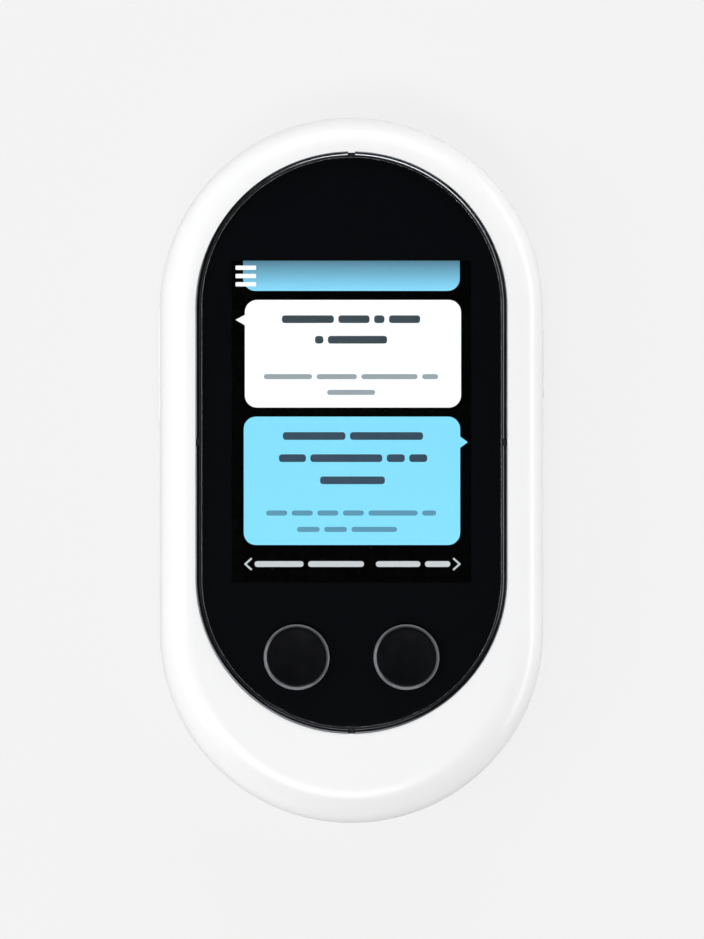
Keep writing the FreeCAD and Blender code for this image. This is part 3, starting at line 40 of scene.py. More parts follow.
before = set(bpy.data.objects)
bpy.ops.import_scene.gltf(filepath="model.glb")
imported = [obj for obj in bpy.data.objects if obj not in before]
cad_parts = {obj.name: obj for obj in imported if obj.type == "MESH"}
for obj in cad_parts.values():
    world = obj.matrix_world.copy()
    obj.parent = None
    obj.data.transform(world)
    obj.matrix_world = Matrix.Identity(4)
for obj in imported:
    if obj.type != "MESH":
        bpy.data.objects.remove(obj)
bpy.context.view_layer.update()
MM = 0.001

# Sizes of the casing
FRONT_RADIUS = 5.5
BACK_RADIUS = 5.8
WALL = 1.6
GLASS_PROUD = 0.2
HOLLOW_BEVEL_FRONT = 2.0
HOLLOW_BEVEL_BACK = 2.6
SEAM_RISE = 0.2
SEAM_GROOVE = 0.08
EDGE_BREAK = 0.04
ROUND_STEPS = 72
FILLET_STEPS = 16
SHARP_DEGREES = 30.0
WELD = 0.0005
OVERCUT = 1.0

# Sizes of the glass and its trim
TRIM_WIDTH = 0.66
TRIM_SETBACK = 0.04
TRIM_SHOULDER = 0.18
TRIM_INNER_EDGE = 0.16
TRIM_LEAN = 0.068
TRIM_STEPS = 6
TRIM_SHARP_DEGREES = 40.0
LENS_EDGE = 0.1
PRINT_THICKNESS = 0.1
SENSOR_THICKNESS = 0.2
DECK_THICKNESS = 1.2

# Sizes of the talk buttons and side keys
RING_LAND = 0.14
RING_SLOPE = 0.26
RING_DEPTH = 0.36
RING_BREAK = 0.02
RING_GAP = 0.05
CAP_GAP = 0.08
CAP_EDGE = 0.06
CAP_DISH = 0.08
CAP_FLANGE_RADIUS = 5.65
CAP_FLANGE_DROP = 0.05
CAP_FLANGE_THICKNESS = 0.7
CAP_STEM_RADIUS = 1.5
AXIS_HOLE = 0.02
KEY_HEIGHT = 2.8
KEY_GAP = 0.1
KEY_EDGE = 0.35
KEY_FLANGE_OVERHANG = 0.7
KEY_FLANGE_THICKNESS = 0.5
POWER_FLANGE_GAP = 0.05
VOLUME_FLANGE_GAP = 0.45

# Sizes of the gold contacts
PAD_THICKNESS = 0.04
CARD_PAD_COUNT = 3
CARD_PAD_PITCH = 2.54
CARD_PAD_LENGTH = 2.3
CARD_PAD_WIDTH = 2.2
CARD_PAD_INSET = 3.0
CARD_PAD_SPREAD = 5.6
USB_PAD_COUNT = 12
USB_PAD_PITCH = 0.5
USB_PAD_LENGTH = 2.6
USB_PAD_WIDTH = 0.26
USB_PAD_INSET = 0.7

# Openings in the walls
SPEAKER_HOLE_RADIUS = 0.5
SPEAKER_HOLE_PITCH = 2.4
SPEAKER_HOLE_COUNT = 6
USB_SHELL_WIDTH = 8.94
USB_HOLE_GAP = 0.18
SIM_GAP = 0.1
SIM_PLATE_HEIGHT = 2.2
MIC_HOLE_RADIUS = 0.4
MIC_PORT_RISE = 0.1
PORT_STEPS = 24
WINDOW_MARGIN = 0.3


def edges(node):
    """Low and high corner of a CAD node, in millimetres."""
    low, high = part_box(node)
    return low / MM, high / MM


# Places, read from the frame
lens_low, lens_high = edges("cover_lens")
trim_low, trim_high = edges("trim_bottom_left")[0], edges("trim_top_right")[1]
housing_high = edges("front_housing")[1]
speaker_low, speaker_high = edges("speaker_mesh_right")
power_low, power_high = edges("power_key")
volume_low, volume_high = edges("volume_key")
tray_low, tray_high = edges("sim_tray")
usb_low, usb_high = edges("usb_shell")
BODY_X = housing_high.x
BODY_Y = housing_high.y
STRAIGHT_Y = BODY_Y - BODY_X
TOP = lens_high.z
LIP = TOP - GLASS_PROUD
BAND_TOP = LIP - FRONT_RADIUS
PARTING = BACK_RADIUS + SEAM_RISE
BAND_MIDDLE = (PARTING + BAND_TOP) / 2
PRINT_TOP = lens_low.z
SENSOR_TOP = PRINT_TOP - PRINT_THICKNESS
DECK_TOP = SENSOR_TOP - SENSOR_THICKNESS
DECK_UNDER = DECK_TOP - DECK_THICKNESS
GLASS_Y = (lens_high.y + lens_low.y) / 2
INNER_X = BODY_X - WALL
TALK_CENTRES = {}
for side_name in ("left", "right"):
    ring_low, ring_high = edges("talk_ring_" + side_name)
    TALK_CENTRES[side_name] = (ring_low + ring_high) / 2
RING_RADIUS = (ring_high.x - ring_low.x) / 2
BORE_RADIUS = RING_RADIUS - RING_LAND - RING_SLOPE
CAP_RADIUS = BORE_RADIUS - CAP_GAP


# Colour and node helpers


def hue(code):
    """An sRGB hex colour as the linear colour that a node takes."""
    channels = [int(code[i:i + 2], 16) / 255 for i in (1, 3, 5)]
    linear = [c / 12.92 if c <= 0.04045 else ((c + 0.055) / 1.055) ** 2.4 for c in channels]
    return (*linear, 1.0)


def add(tree, kind, settings=None, links=None):
    """Adds a node. Settings are socket values or the node's own fields; links feed its sockets."""
    node = tree.nodes.new(kind)
    for name, value in (settings or {}).items():
        if isinstance(name, int) or name in node.inputs:
            node.inputs[name].default_value = value
        else:
            setattr(node, name, value)
    for name, socket in (links or {}).items():
        tree.links.new(socket, node.inputs[name])
    return node


def new_material(name, settings):
    """A new material with one Principled shader: its tree, that shader and Object coordinates."""
    material = bpy.data.materials.new(name)
    material.use_nodes = True
    tree = material.node_tree
    tree.nodes.clear()
    shader = add(tree, "ShaderNodeBsdfPrincipled", settings)
    add(tree, "ShaderNodeOutputMaterial", links={"Surface": shader.outputs["BSDF"]})
    place = add(tree, "ShaderNodeTexCoord").outputs["Object"]
    return material, tree, shader, place


def drive(tree, shader, socket, source):
    """Feeds one of the shader's sockets."""
    tree.links.new(source, shader.inputs[socket])


def grain(tree, place, spacing_mm, detail=3.0, stretch=(1, 1, 1)):
    """Noise whose cells are about spacing_mm apart."""
    turn = add(tree, "ShaderNodeMapping", {"Scale": stretch}, {"Vector": place})
    settings = {"Scale": 1 / (spacing_mm * MM), "Detail": detail, "Roughness": 0.5}
    return add(tree, "ShaderNodeTexNoise", settings, {"Vector": turn.outputs[0]}).outputs["Fac"]


def ramp(tree, factor, low, high, start=0.3, end=0.7):
    """Maps a factor between start and end to a number between low and high."""
    settings = {"From Min": start, "From Max": end, "To Min": low, "To Max": high}
    return add(tree, "ShaderNodeMapRange", settings, {"Value": factor}).outputs["Result"]


def blend_colours(tree, factor, first, second):
    """Goes from the first hex colour to the second as the factor rises."""
    settings = {"data_type": "RGBA", 6: hue(first), 7: hue(second)}
    return add(tree, "ShaderNodeMix", settings, {0: factor}).outputs[2]


def relief(tree, shader, height, depth_mm, strength=1.0):
    """Bump of a real depth."""
    settings = {"Distance": depth_mm * MM, "Strength": strength}
    bump = add(tree, "ShaderNodeBump", settings, {"Height": height})
    drive(tree, shader, "Normal", bump.outputs["Normal"])


# Materials

SCREEN_GLOW = 1.14


def gloss_white_polycarbonate():
    """Injection moulded in a polished tool: a deep even gloss with a faint orange peel."""
    material, tree, shader, place = new_material(
        "gloss_white_polycarbonate",
        {"IOR": 1.585, "Roughness": 0.26, "Specular IOR Level": 0.32},
    )
    cloud = grain(tree, place, 14.0, detail=2.0)
    drive(tree, shader, "Base Color", blend_colours(tree, cloud, "#F7F7F7", "#F6F6F7"))
    handling = grain(tree, place, 6.0, detail=4.0)
    drive(tree, shader, "Roughness", ramp(tree, handling, 0.28, 0.31))
    relief(tree, shader, grain(tree, place, 2.5, detail=1.0), 0.0015)
    return material


def black_glass_filled_nylon():
    """Moulded in a spark-eroded tool: a fine dull grain that hides the flow of the glass fibre."""
    material, tree, shader, place = new_material(
        "black_glass_filled_nylon", {"IOR": 1.53, "Roughness": 0.6, "Specular IOR Level": 0.25}
    )
    speck = grain(tree, place, 0.12)
    drive(tree, shader, "Base Color", blend_colours(tree, speck, "#050506", "#0B0C0D"))
    drive(tree, shader, "Roughness", ramp(tree, speck, 0.52, 0.68))
    relief(tree, shader, speck, 0.01)
    return material


def black_chrome_steel():
    """Polished steel with a vapour coated black chrome: dark mirror with a fine drawn grain."""
    material, tree, shader, place = new_material(
        "black_chrome_steel", {"Metallic": 1.0, "Roughness": 0.2}
    )
    draw = grain(tree, place, 0.3, stretch=(1, 0.1, 1))
    drive(tree, shader, "Base Color", blend_colours(tree, draw, "#6E7074", "#787A7E"))
    drive(tree, shader, "Roughness", ramp(tree, draw, 0.11, 0.17))
    return material


def float_glass():
    """Toughened and polished sheet glass: clear, with an even wipe haze far too fine to feel."""
    material, tree, shader, place = new_material(
        "float_glass",
        {"Base Color": hue("#FBFDFD"), "IOR": 1.5, "Roughness": 0.02, "Transmission Weight": 1.0},
    )
    wipe = grain(tree, place, 9.0, detail=4.0)
    drive(tree, shader, "Roughness", ramp(tree, wipe, 0.012, 0.03))
    output = next(node for node in tree.nodes if node.bl_idname == "ShaderNodeOutputMaterial")
    clear = add(tree, "ShaderNodeBsdfTransparent", {"Color": hue("#FBFDFD")})
    path = add(tree, "ShaderNodeLightPath")
    pick = add(
        tree,
        "ShaderNodeMixShader",
        links={0: path.outputs["Is Shadow Ray"], 1: shader.outputs[0], 2: clear.outputs[0]},
    )
    tree.links.new(pick.outputs[0], output.inputs["Surface"])
    return material


def screen_ink():
    """Ceramic ink, printed and fired on the back of the glass: an even blue black.

    It is one body with the glass, so almost nothing mirrors where they meet.
    """
    material, tree, shader, place = new_material(
        "screen_ink", {"IOR": 1.5, "Roughness": 0.5, "Specular IOR Level": 0.05}
    )
    pin = grain(tree, place, 0.2)
    drive(tree, shader, "Base Color", blend_colours(tree, pin, "#030509", "#05070B"))
    drive(tree, shader, "Roughness", ramp(tree, pin, 0.36, 0.46))
    return material


def display_glass():
    """Polariser film, bonded to the glass with clear gel: dead black where it is unlit."""
    material, tree, shader, place = new_material(
        "display_glass", {"IOR": 1.5, "Roughness": 0.5, "Specular IOR Level": 0.02}
    )
    film = grain(tree, place, 1.0)
    drive(tree, shader, "Base Color", blend_colours(tree, film, "#000000", "#010101"))
    drive(tree, shader, "Roughness", ramp(tree, film, 0.26, 0.36))
    return material


def lit_pixels(name, first, second, low_y, high_y):
    """Light from the panel, from the first colour at low_y to the second at high_y."""
    material, tree, shader, place = new_material(
        name, {"Base Color": hue("#000000"), "Roughness": 0.4, "Emission Strength": SCREEN_GLOW}
    )
    up = add(tree, "ShaderNodeSeparateXYZ", links={"Vector": place}).outputs["Y"]
    share = ramp(tree, up, 0.0, 1.0, low_y * MM, high_y * MM)
    cell = grain(tree, place, 0.25)
    even = ramp(tree, cell, -0.02, 0.02)
    share = add(tree, "ShaderNodeMath", {"operation": "ADD"}, {0: share, 1: even}).outputs[0]
    drive(tree, shader, "Emission Color", blend_colours(tree, share, first, second))
    return material


def button_polycarbonate():
    """Black polycarbonate with a hard coat: a soft satin gloss, with the odd trace of a thumb."""
    material, tree, shader, place = new_material(
        "button_polycarbonate", {"IOR": 1.585, "Roughness": 0.16}
    )
    thumb = grain(tree, place, 2.2, detail=4.0)
    drive(tree, shader, "Base Color", blend_colours(tree, thumb, "#08090C", "#0A0B0F"))
    drive(tree, shader, "Roughness", ramp(tree, thumb, 0.14, 0.17))
    return material


def turned_steel_ring():
    """Stainless steel turned on a lathe: bright, with close rings left by the tool."""
    material, tree, shader, place = new_material(
        "turned_steel_ring", {"Metallic": 1.0, "Roughness": 0.34}
    )
    mark = grain(tree, place, 0.15)
    drive(tree, shader, "Base Color", blend_colours(tree, mark, "#8E9195", "#9A9DA1"))
    drive(tree, shader, "Roughness", ramp(tree, mark, 0.3, 0.38))
    return material


def stamped_steel():
    """Nickel plated steel strip, stamped: grey, with a soft rolled grain along one way."""
    material, tree, shader, place = new_material("stamped_steel", {"Metallic": 1.0, "Roughness": 0.32})
    roll = grain(tree, place, 0.4, stretch=(1, 0.08, 1))
    drive(tree, shader, "Base Color", blend_colours(tree, roll, "#A7A8A9", "#BDBEBF"))
    drive(tree, shader, "Roughness", ramp(tree, roll, 0.26, 0.4))
    relief(tree, shader, roll, 0.002)
    return material


def board_laminate():
    """Glass epoxy board under green solder resist: the copper runs show as a darker net."""
    material, tree, shader, place = new_material("board_laminate", {"IOR": 1.55, "Roughness": 0.35})
    settings = {"Scale": 1 / (1.6 * MM), "distance": "CHEBYCHEV", "feature": "DISTANCE_TO_EDGE"}
    runs = add(tree, "ShaderNodeTexVoronoi", settings, {"Vector": place}).outputs["Distance"]
    copper = ramp(tree, runs, 1.0, 0.0, 0.04, 0.08)
    drive(tree, shader, "Base Color", blend_colours(tree, copper, "#0E4A2C", "#1A6A3F"))
    relief(tree, shader, copper, 0.02)
    return material


def chip_epoxy():
    """Filled epoxy, transfer moulded round a chip: flat black with a salt of silica."""
    material, tree, shader, place = new_material("chip_epoxy", {"IOR": 1.55, "Roughness": 0.55})
    salt = grain(tree, place, 0.1)
    drive(tree, shader, "Base Color", blend_colours(tree, salt, "#1B1B1C", "#2A2A2B"))
    relief(tree, shader, salt, 0.006)
    return material


def polyimide_film():
    """Amber film with copper under it: a warm gloss, darker where the copper runs."""
    material, tree, shader, place = new_material("polyimide_film", {"IOR": 1.7, "Roughness": 0.25})
    settings = {"wave_type": "BANDS", "Scale": 1 / (6 * MM), "Distortion": 0.0}
    lines = add(tree, "ShaderNodeTexWave", settings, {"Vector": place}).outputs["Fac"]
    drive(tree, shader, "Base Color", blend_colours(tree, lines, "#A8631A", "#7A4312"))
    return material


def pouch_laminate():
    """Aluminium laminate pouch in a black wrap: a satin skin, a little creased by hand."""
    material, tree, shader, place = new_material("pouch_laminate", {"IOR": 1.5, "Roughness": 0.4})
    crease = grain(tree, place, 5.0, detail=4.0)
    drive(tree, shader, "Base Color", blend_colours(tree, crease, "#202124", "#2B2C30"))
    relief(tree, shader, crease, 0.05)
    return material


def silicone_rubber():
    """Moulded silicone: a dull grey, with the bloom that such seals have."""
    material, tree, shader, place = new_material("silicone_rubber", {"IOR": 1.42, "Roughness": 0.7})
    bloom = grain(tree, place, 0.5)
    drive(tree, shader, "Base Color", blend_colours(tree, bloom, "#2E2F31", "#3A3B3D"))
    return material


def cell_foam():
    """Open cell urethane foam: black, pitted all over by its cut cells."""
    material, tree, shader, place = new_material("cell_foam", {"IOR": 1.5, "Roughness": 0.9})
    settings = {"Scale": 1 / (0.4 * MM)}
    cells = add(tree, "ShaderNodeTexVoronoi", settings, {"Vector": place}).outputs["Distance"]
    drive(tree, shader, "Base Color", blend_colours(tree, cells, "#141415", "#2A2A2C"))
    relief(tree, shader, cells, 0.1)
    return material


def acoustic_cloth():
    """Woven polyester dust cloth: two crossed sets of black threads, 0.2 mm apart."""
    material, tree, shader, place = new_material("acoustic_cloth", {"IOR": 1.5, "Roughness": 0.8})
    threads = []
    for direction in ("Y", "Z"):
        settings = {"bands_direction": direction, "Scale": 1 / (1.3 * MM)}
        threads.append(add(tree, "ShaderNodeTexWave", settings, {"Vector": place}).outputs["Fac"])
    weave = add(
        tree, "ShaderNodeMath", {"operation": "MAXIMUM"}, {0: threads[0], 1: threads[1]}
    ).outputs[0]
    drive(tree, shader, "Base Color", blend_colours(tree, weave, "#050505", "#26272A"))
    relief(tree, shader, weave, 0.05)
    return material


def card_plastic():
    """Calendered card plastic: a pale even matt face, with a fine press grain."""
    material, tree, shader, place = new_material("card_plastic", {"IOR": 1.54, "Roughness": 0.5})
    press = grain(tree, place, 0.2)
    drive(tree, shader, "Base Color", blend_colours(tree, press, "#E4E6E9", "#DADDE1"))
    drive(tree, shader, "Roughness", ramp(tree, press, 0.42, 0.56))
    return material


def gold_contacts():
    """Gold plated copper alloy: warm and bright, finely stamped."""
    material, tree, shader, place = new_material("gold_contacts", {"Metallic": 1.0, "Roughness": 0.25})
    stamp = grain(tree, place, 0.2)
    drive(tree, shader, "Base Color", blend_colours(tree, stamp, "#D9B25C", "#E6C274"))
    return material


WHITE = gloss_white_polycarbonate()
FRAME_BLACK = black_glass_filled_nylon()
TRIM_CHROME = black_chrome_steel()
GLASS = float_glass()
INK = screen_ink()
PANEL = display_glass()
BUTTON = button_polycarbonate()
RING_STEEL = turned_steel_ring()
STEEL = stamped_steel()
BOARD = board_laminate()
CHIP = chip_epoxy()
FILM = polyimide_film()
POUCH = pouch_laminate()
RUBBER = silicone_rubber()
FOAM = cell_foam()
CLOTH = acoustic_cloth()
CARD = card_plastic()
GOLD = gold_contacts()


# Mesh helpers


def ring(half_x, half_y, middle_y, level, steps=ROUND_STEPS):
    """A level stadium loop of points, anticlockwise, with its long axis along Y."""
    reach = half_y - half_x
    points = []
    for centre_y, start in ((middle_y + reach, 0.0), (middle_y - reach, math.pi)):
        for step in range(steps + 1):
            angle = start + math.pi * step / steps
            x = half_x * math.cos(angle)
            points.append(Vector((x, centre_y + half_x * math.sin(angle), level)))
    return points


def loft(rings, closed=False):
    """A closed skin through rings of equally many points, capped at both ends or joined up."""
    mesh = bmesh.new()
    loops = [[mesh.verts.new(point * MM) for point in points] for points in rings]
    pairs = list(zip(loops, loops[1:]))
    if closed:
        pairs.append((loops[-1], loops[0]))
    for below, above in pairs:
        count = len(below)
        for index in range(count):
            after = (index + 1) % count
            mesh.faces.new((below[index], below[after], above[after], above[index]))
    if not closed:
        mesh.faces.new(list(reversed(loops[0])))
        mesh.faces.new(loops[-1])
    bmesh.ops.recalc_face_normals(mesh, faces=mesh.faces)
    return mesh


def lathe(profile, centre, steps=ROUND_STEPS):
    """Rings turned about an upright axis, one for each (radius, level) point off the axis."""
    rings = []
    for radius, level in profile:
        points = []
        for step in range(steps):
            turn = 2 * math.pi * step / steps
            x = centre.x + radius * math.cos(turn)
            points.append(Vector((x, centre.y + radius * math.sin(turn), level)))
        rings.append(points)
    return rings


def piece(name, mesh, material, sharp_degrees=SHARP_DEGREES):
    """Turns a bmesh into an object at the origin, smooth but for edges sharper than given."""
    data = bpy.data.meshes.new(name)
    for face in mesh.faces:
        face.smooth = True
    for edge in mesh.edges:
        edge.smooth = edge.calc_face_angle(0.0) < math.radians(sharp_degrees)
    mesh.to_mesh(data)
    mesh.free()
    data.materials.append(material)
    shape = bpy.data.objects.new(name, data)
    bpy.context.scene.collection.objects.link(shape)
    return shape


def baked(shape):
    """Applies an object's modifiers, so that its mesh is plain."""
    graph = bpy.context.evaluated_depsgraph_get()
    graph.update()
    data = bpy.data.meshes.new_from_object(shape.evaluated_get(graph))
    shape.modifiers.clear()
    shape.data = data
    return shape


def weigh(shape):
    """Weights an object's normals by the area of its faces, with its sharp edges kept."""
    weight = shape.modifiers.new("weight", "WEIGHTED_NORMAL")
    weight.keep_sharp = True
    return baked(shape)


def cut(shape, cutters):
    """Cuts closed shapes out of a piece with exact booleans.

    The normals are weighted here and again after the weld, which keeps each slot's edge crisp.
    """
    for cutter in cutters:
        modifier = shape.modifiers.new("cut", "BOOLEAN")
        modifier.operation = "DIFFERENCE"
        modifier.solver = "EXACT"
        modifier.object = cutter
    sharpen(weigh(shape))
    for cutter in cutters:
        bpy.data.objects.remove(cutter)
    return shape


def sharpen(shape):
    """Welds a mesh, marks its sharp edges, and weights its normals by area."""
    mesh = bmesh.new()
    mesh.from_mesh(shape.data)
    bmesh.ops.remove_doubles(mesh, verts=mesh.verts, dist=WELD * MM)
    for face in mesh.faces:
        face.smooth = True
        face.material_index = 0
    for edge in mesh.edges:
        edge.smooth = edge.calc_face_angle(0.0) < math.radians(SHARP_DEGREES)
    mesh.to_mesh(shape.data)
    mesh.free()
    return weigh(shape)


def arc(centre, radius, start, end, steps):
    """(across, level) points on an arc, angles in degrees from straight out."""
    points = []
    for step in range(steps + 1):
        angle = math.radians(start + (end - start) * step / steps)
        points.append((centre[0] + radius * math.cos(angle), centre[1] + radius * math.sin(angle)))
    return points


def pill_prism(name, length, height, start, end, along, middle):
    """A pill bar to cut with. Along is X or Y: the way it runs; its length lies across that."""
    points = ring(height / 2, length / 2, 0.0, 0.0, PORT_STEPS)
    if along == "X":
        y, z = middle
        rings = [[Vector((x, y + p.y, z + p.x)) for p in points] for x in (start, end)]
    else:
        x, z = middle
        rings = [[Vector((x + p.y, y, z + p.x)) for p in points] for y in (start, end)]
    return piece(name, loft(rings), WHITE)


# Repeated features, made by Geometry Nodes


def row_tree(name, shape_kind, settings, sizes):
    """A tree that sets one shape at each point of a straight row, with named inputs.

    Sizes are the shape's own sockets that become inputs, each with its kind.
    """
    tree = bpy.data.node_groups.new(name, "GeometryNodeTree")
    tree.interface.new_socket("Geometry", in_out="OUTPUT", socket_type="NodeSocketGeometry")
    for label, kind in (
        ("Count", "NodeSocketInt"),
        ("Start", "NodeSocketVector"),
        ("Pitch", "NodeSocketVector"),
        ("Turn", "NodeSocketVector"),
        ("Material", "NodeSocketMaterial"),
        *sizes,
    ):
        tree.interface.new_socket(label, in_out="INPUT", socket_type=kind)
    given = add(tree, "NodeGroupInput").outputs
    row = add(
        tree,
        "GeometryNodeMeshLine",
        {"mode": "OFFSET"},
        {"Count": given["Count"], "Start Location": given["Start"], "Offset": given["Pitch"]},
    )
    shape = add(tree, shape_kind, settings, {label: given[label] for label, _ in sizes})
    turn = add(tree, "FunctionNodeEulerToRotation", links={"Euler": given["Turn"]})
    set_out = add(
        tree,
        "GeometryNodeInstanceOnPoints",
        links={
            "Points": row.outputs["Mesh"],
            "Instance": shape.outputs["Mesh"],
            "Rotation": turn.outputs["Rotation"],
        },
    )
    real = add(
        tree, "GeometryNodeRealizeInstances", links={"Geometry": set_out.outputs["Instances"]}
    )
    coat = add(
        tree,
        "GeometryNodeSetMaterial",
        links={"Geometry": real.outputs["Geometry"], "Material": given["Material"]},
    )
    add(tree, "NodeGroupOutput", links={"Geometry": coat.outputs["Geometry"]})
    return tree


def grown(name, tree, values):
    """A plain mesh object grown by a tree; values go to its inputs by their names."""
    shape = bpy.data.objects.new(name, bpy.data.meshes.new(name))
    bpy.context.scene.collection.objects.link(shape)
    modifier = shape.modifiers.new("grow", "NODES")
    modifier.node_group = tree
    for item in tree.interface.items_tree:
        if item.in_out == "INPUT":
            modifier[item.identifier] = values[item.name]
    return baked(shape)


HOLE_ROW = row_tree(
    "hole_row",
    "GeometryNodeMeshCylinder",
    {"Vertices": PORT_STEPS, "fill_type": "NGON"},
    (("Radius", "NodeSocketFloat"), ("Depth", "NodeSocketFloat")),
)
PAD_ROW = row_tree("pad_row", "GeometryNodeMeshCube", {}, (("Size", "NodeSocketVector"),))


def pad_row(name, count, start, pitch, size, body):
    """A row of gold contact pads, set a hair proud of the face they lie on."""
    pads = grown(
        name,
        PAD_ROW,
        {
            "Count": count,
            "Start": tuple(value * MM for value in start),
            "Pitch": tuple(value * MM for value in pitch),
            "Turn": (0.0, 0.0, 0.0),
            "Size": tuple(value * MM for value in size),
            "Material": GOLD,
        },
    )
    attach(pads, body)


def hole_row(name, side):
    """The cutters for one row of speaker holes."""
    middle_y = (speaker_low.y + speaker_high.y) / 2
    first_y = middle_y - SPEAKER_HOLE_PITCH * (SPEAKER_HOLE_COUNT - 1) / 2
    depth = 2 * WALL
    return grown(
        name,
        HOLE_ROW,
        {
            "Count": SPEAKER_HOLE_COUNT,
            "Start": (side * (BODY_X - WALL / 2) * MM, first_y * MM, BAND_MIDDLE * MM),
            "Pitch": (0.0, SPEAKER_HOLE_PITCH * MM, 0.0),
            "Turn": (0.0, math.pi / 2, 0.0),
            "Radius": SPEAKER_HOLE_RADIUS * MM,
            "Depth": depth * MM,
            "Material": WHITE,
        },
    )


# Casing


def front_housing():
    """The tub: side wall, rounded shoulder, lip round the glass, deck and hollow, in one skin."""
    shoulder = arc((-FRONT_RADIUS, BAND_TOP), FRONT_RADIUS, 0, 90, FILLET_STEPS)
    outside = [(-SEAM_GROOVE, PARTING), (0.0, PARTING + SEAM_GROOVE)] + shoulder
    rings = [ring(BODY_X + grow, BODY_Y + grow, 0.0, level) for grow, level in outside]
    pocket_x = trim_high.x
    pocket_y = (trim_high.y - trim_low.y) / 2
    for grow, level in ((EDGE_BREAK, LIP), (0.0, LIP - EDGE_BREAK), (0.0, DECK_TOP)):
        rings.append(ring(pocket_x + grow, pocket_y + grow, GLASS_Y, level))
    hollow = (
        (INNER_X - HOLLOW_BEVEL_FRONT, DECK_UNDER),
        (INNER_X, DECK_UNDER - HOLLOW_BEVEL_FRONT),
        (INNER_X, PARTING),
    )
    inside = [ring(half, STRAIGHT_Y + half, 0.0, level) for half, level in hollow]
    skin = loft(inside + rings)
    return piece("housing_shell", skin, WHITE)


def rear_cover():
    """The shallow back tub, rounded all round its foot, with its tongue left inside."""
    foot = arc((-BACK_RADIUS, BACK_RADIUS), BACK_RADIUS, -90, 0, FILLET_STEPS)
    outside = foot + [(0.0, PARTING - SEAM_GROOVE), (-SEAM_GROOVE, PARTING)]
    rings = [ring(BODY_X + grow, BODY_Y + grow, 0.0, level) for grow, level in outside]
    for half, level in (
        (INNER_X, PARTING),
        (INNER_X, WALL + HOLLOW_BEVEL_BACK),
        (INNER_X - HOLLOW_BEVEL_BACK, WALL),
    ):
        rings.append(ring(half, STRAIGHT_Y + half, 0.0, level))
    return piece("back_shell", loft(rings), WHITE)


def openings():
    """Cutters for the key windows, the tray slot, the receptacle and the speaker holes."""
    out = BODY_X + WALL
    slot = 2 * KEY_GAP
    power_y = (power_low.y + power_high.y) / 2
    power_length = power_high.y - power_low.y - 2 * KEY_FLANGE_OVERHANG
    volume_y = (volume_low.y + volume_high.y) / 2
    volume_length = volume_high.y - volume_low.y - 2 * KEY_FLANGE_OVERHANG
    inner = INNER_X - WALL
    sim_y = (tray_low.y + tray_high.y) / 2
    sim_z = (tray_low.z + tray_high.z) / 2
    usb_z = (usb_low.z + usb_high.z) / 2
    usb_height = usb_high.z - usb_low.z + 2 * USB_HOLE_GAP
    usb_length = USB_SHELL_WIDTH + 2 * USB_HOLE_GAP
    height = KEY_HEIGHT + slot
    return [
        pill_prism(
            "power_slot", power_length + slot, height, inner, out, "X", (power_y, BAND_MIDDLE)
        ),
        pill_prism(
            "volume_slot", volume_length + slot, height, -out, -inner, "X", (volume_y, BAND_MIDDLE)
        ),
        pill_prism(
            "tray_slot",
            tray_high.y - tray_low.y + 2 * SIM_GAP,
            SIM_PLATE_HEIGHT + 2 * SIM_GAP,
            inner,
            out,
            "X",
            (sim_y, sim_z),
        ),
        pill_prism(
            "usb_slot", usb_length, usb_height, -BODY_Y - WALL, -BODY_Y + 2 * WALL, "Y", (0.0, usb_z)
        ),
        hole_row("left_holes", -1),
        hole_row("right_holes", 1),
    ]


def upright_cutter(name, radius, low, high, x, y):
    """A round upright bar to cut with."""
    centre = Vector((x, y, 0))
    rings = lathe([(radius, low), (radius, high)], centre, 2 * PORT_STEPS)
    return piece(name, loft(rings), WHITE)


housing = front_housing()
deck_cuts = [
    upright_cutter("talk_bore", CAP_RADIUS + 2 * CAP_GAP, DECK_UNDER - OVERCUT, TOP, c.x, c.y)
    for c in TALK_CENTRES.values()
]
for port_y in (trim_high.y - TRIM_WIDTH / 2, trim_low.y + TRIM_WIDTH / 2):
    port_low = DECK_UNDER - OVERCUT
    port_top = DECK_TOP + MIC_PORT_RISE
    deck_cuts.append(upright_cutter("mic_port", MIC_HOLE_RADIUS, port_low, port_top, 0.0, port_y))
display_low, display_high = edges("backlight_frame")
window_x = (display_low.x - WINDOW_MARGIN, display_high.x + WINDOW_MARGIN)
window_y = (display_low.y - WINDOW_MARGIN, display_high.y + WINDOW_MARGIN)
window_corners = (
    (window_x[0], window_y[0]),
    (window_x[1], window_y[0]),
    (window_x[1], window_y[1]),
    (window_x[0], window_y[1]),
)
window_rings = [
    [Vector((x, y, level)) for x, y in window_corners] for level in (DECK_UNDER - OVERCUT, TOP)
]
deck_cuts.append(piece("display_window", loft(window_rings), WHITE))
cut(housing, openings() + deck_cuts)
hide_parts("front_housing")
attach(housing, "casing")

back = rear_cover()
sharpen(back)
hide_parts("rear_cover")
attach(back, "casing")


# Glass, trim and talk buttons


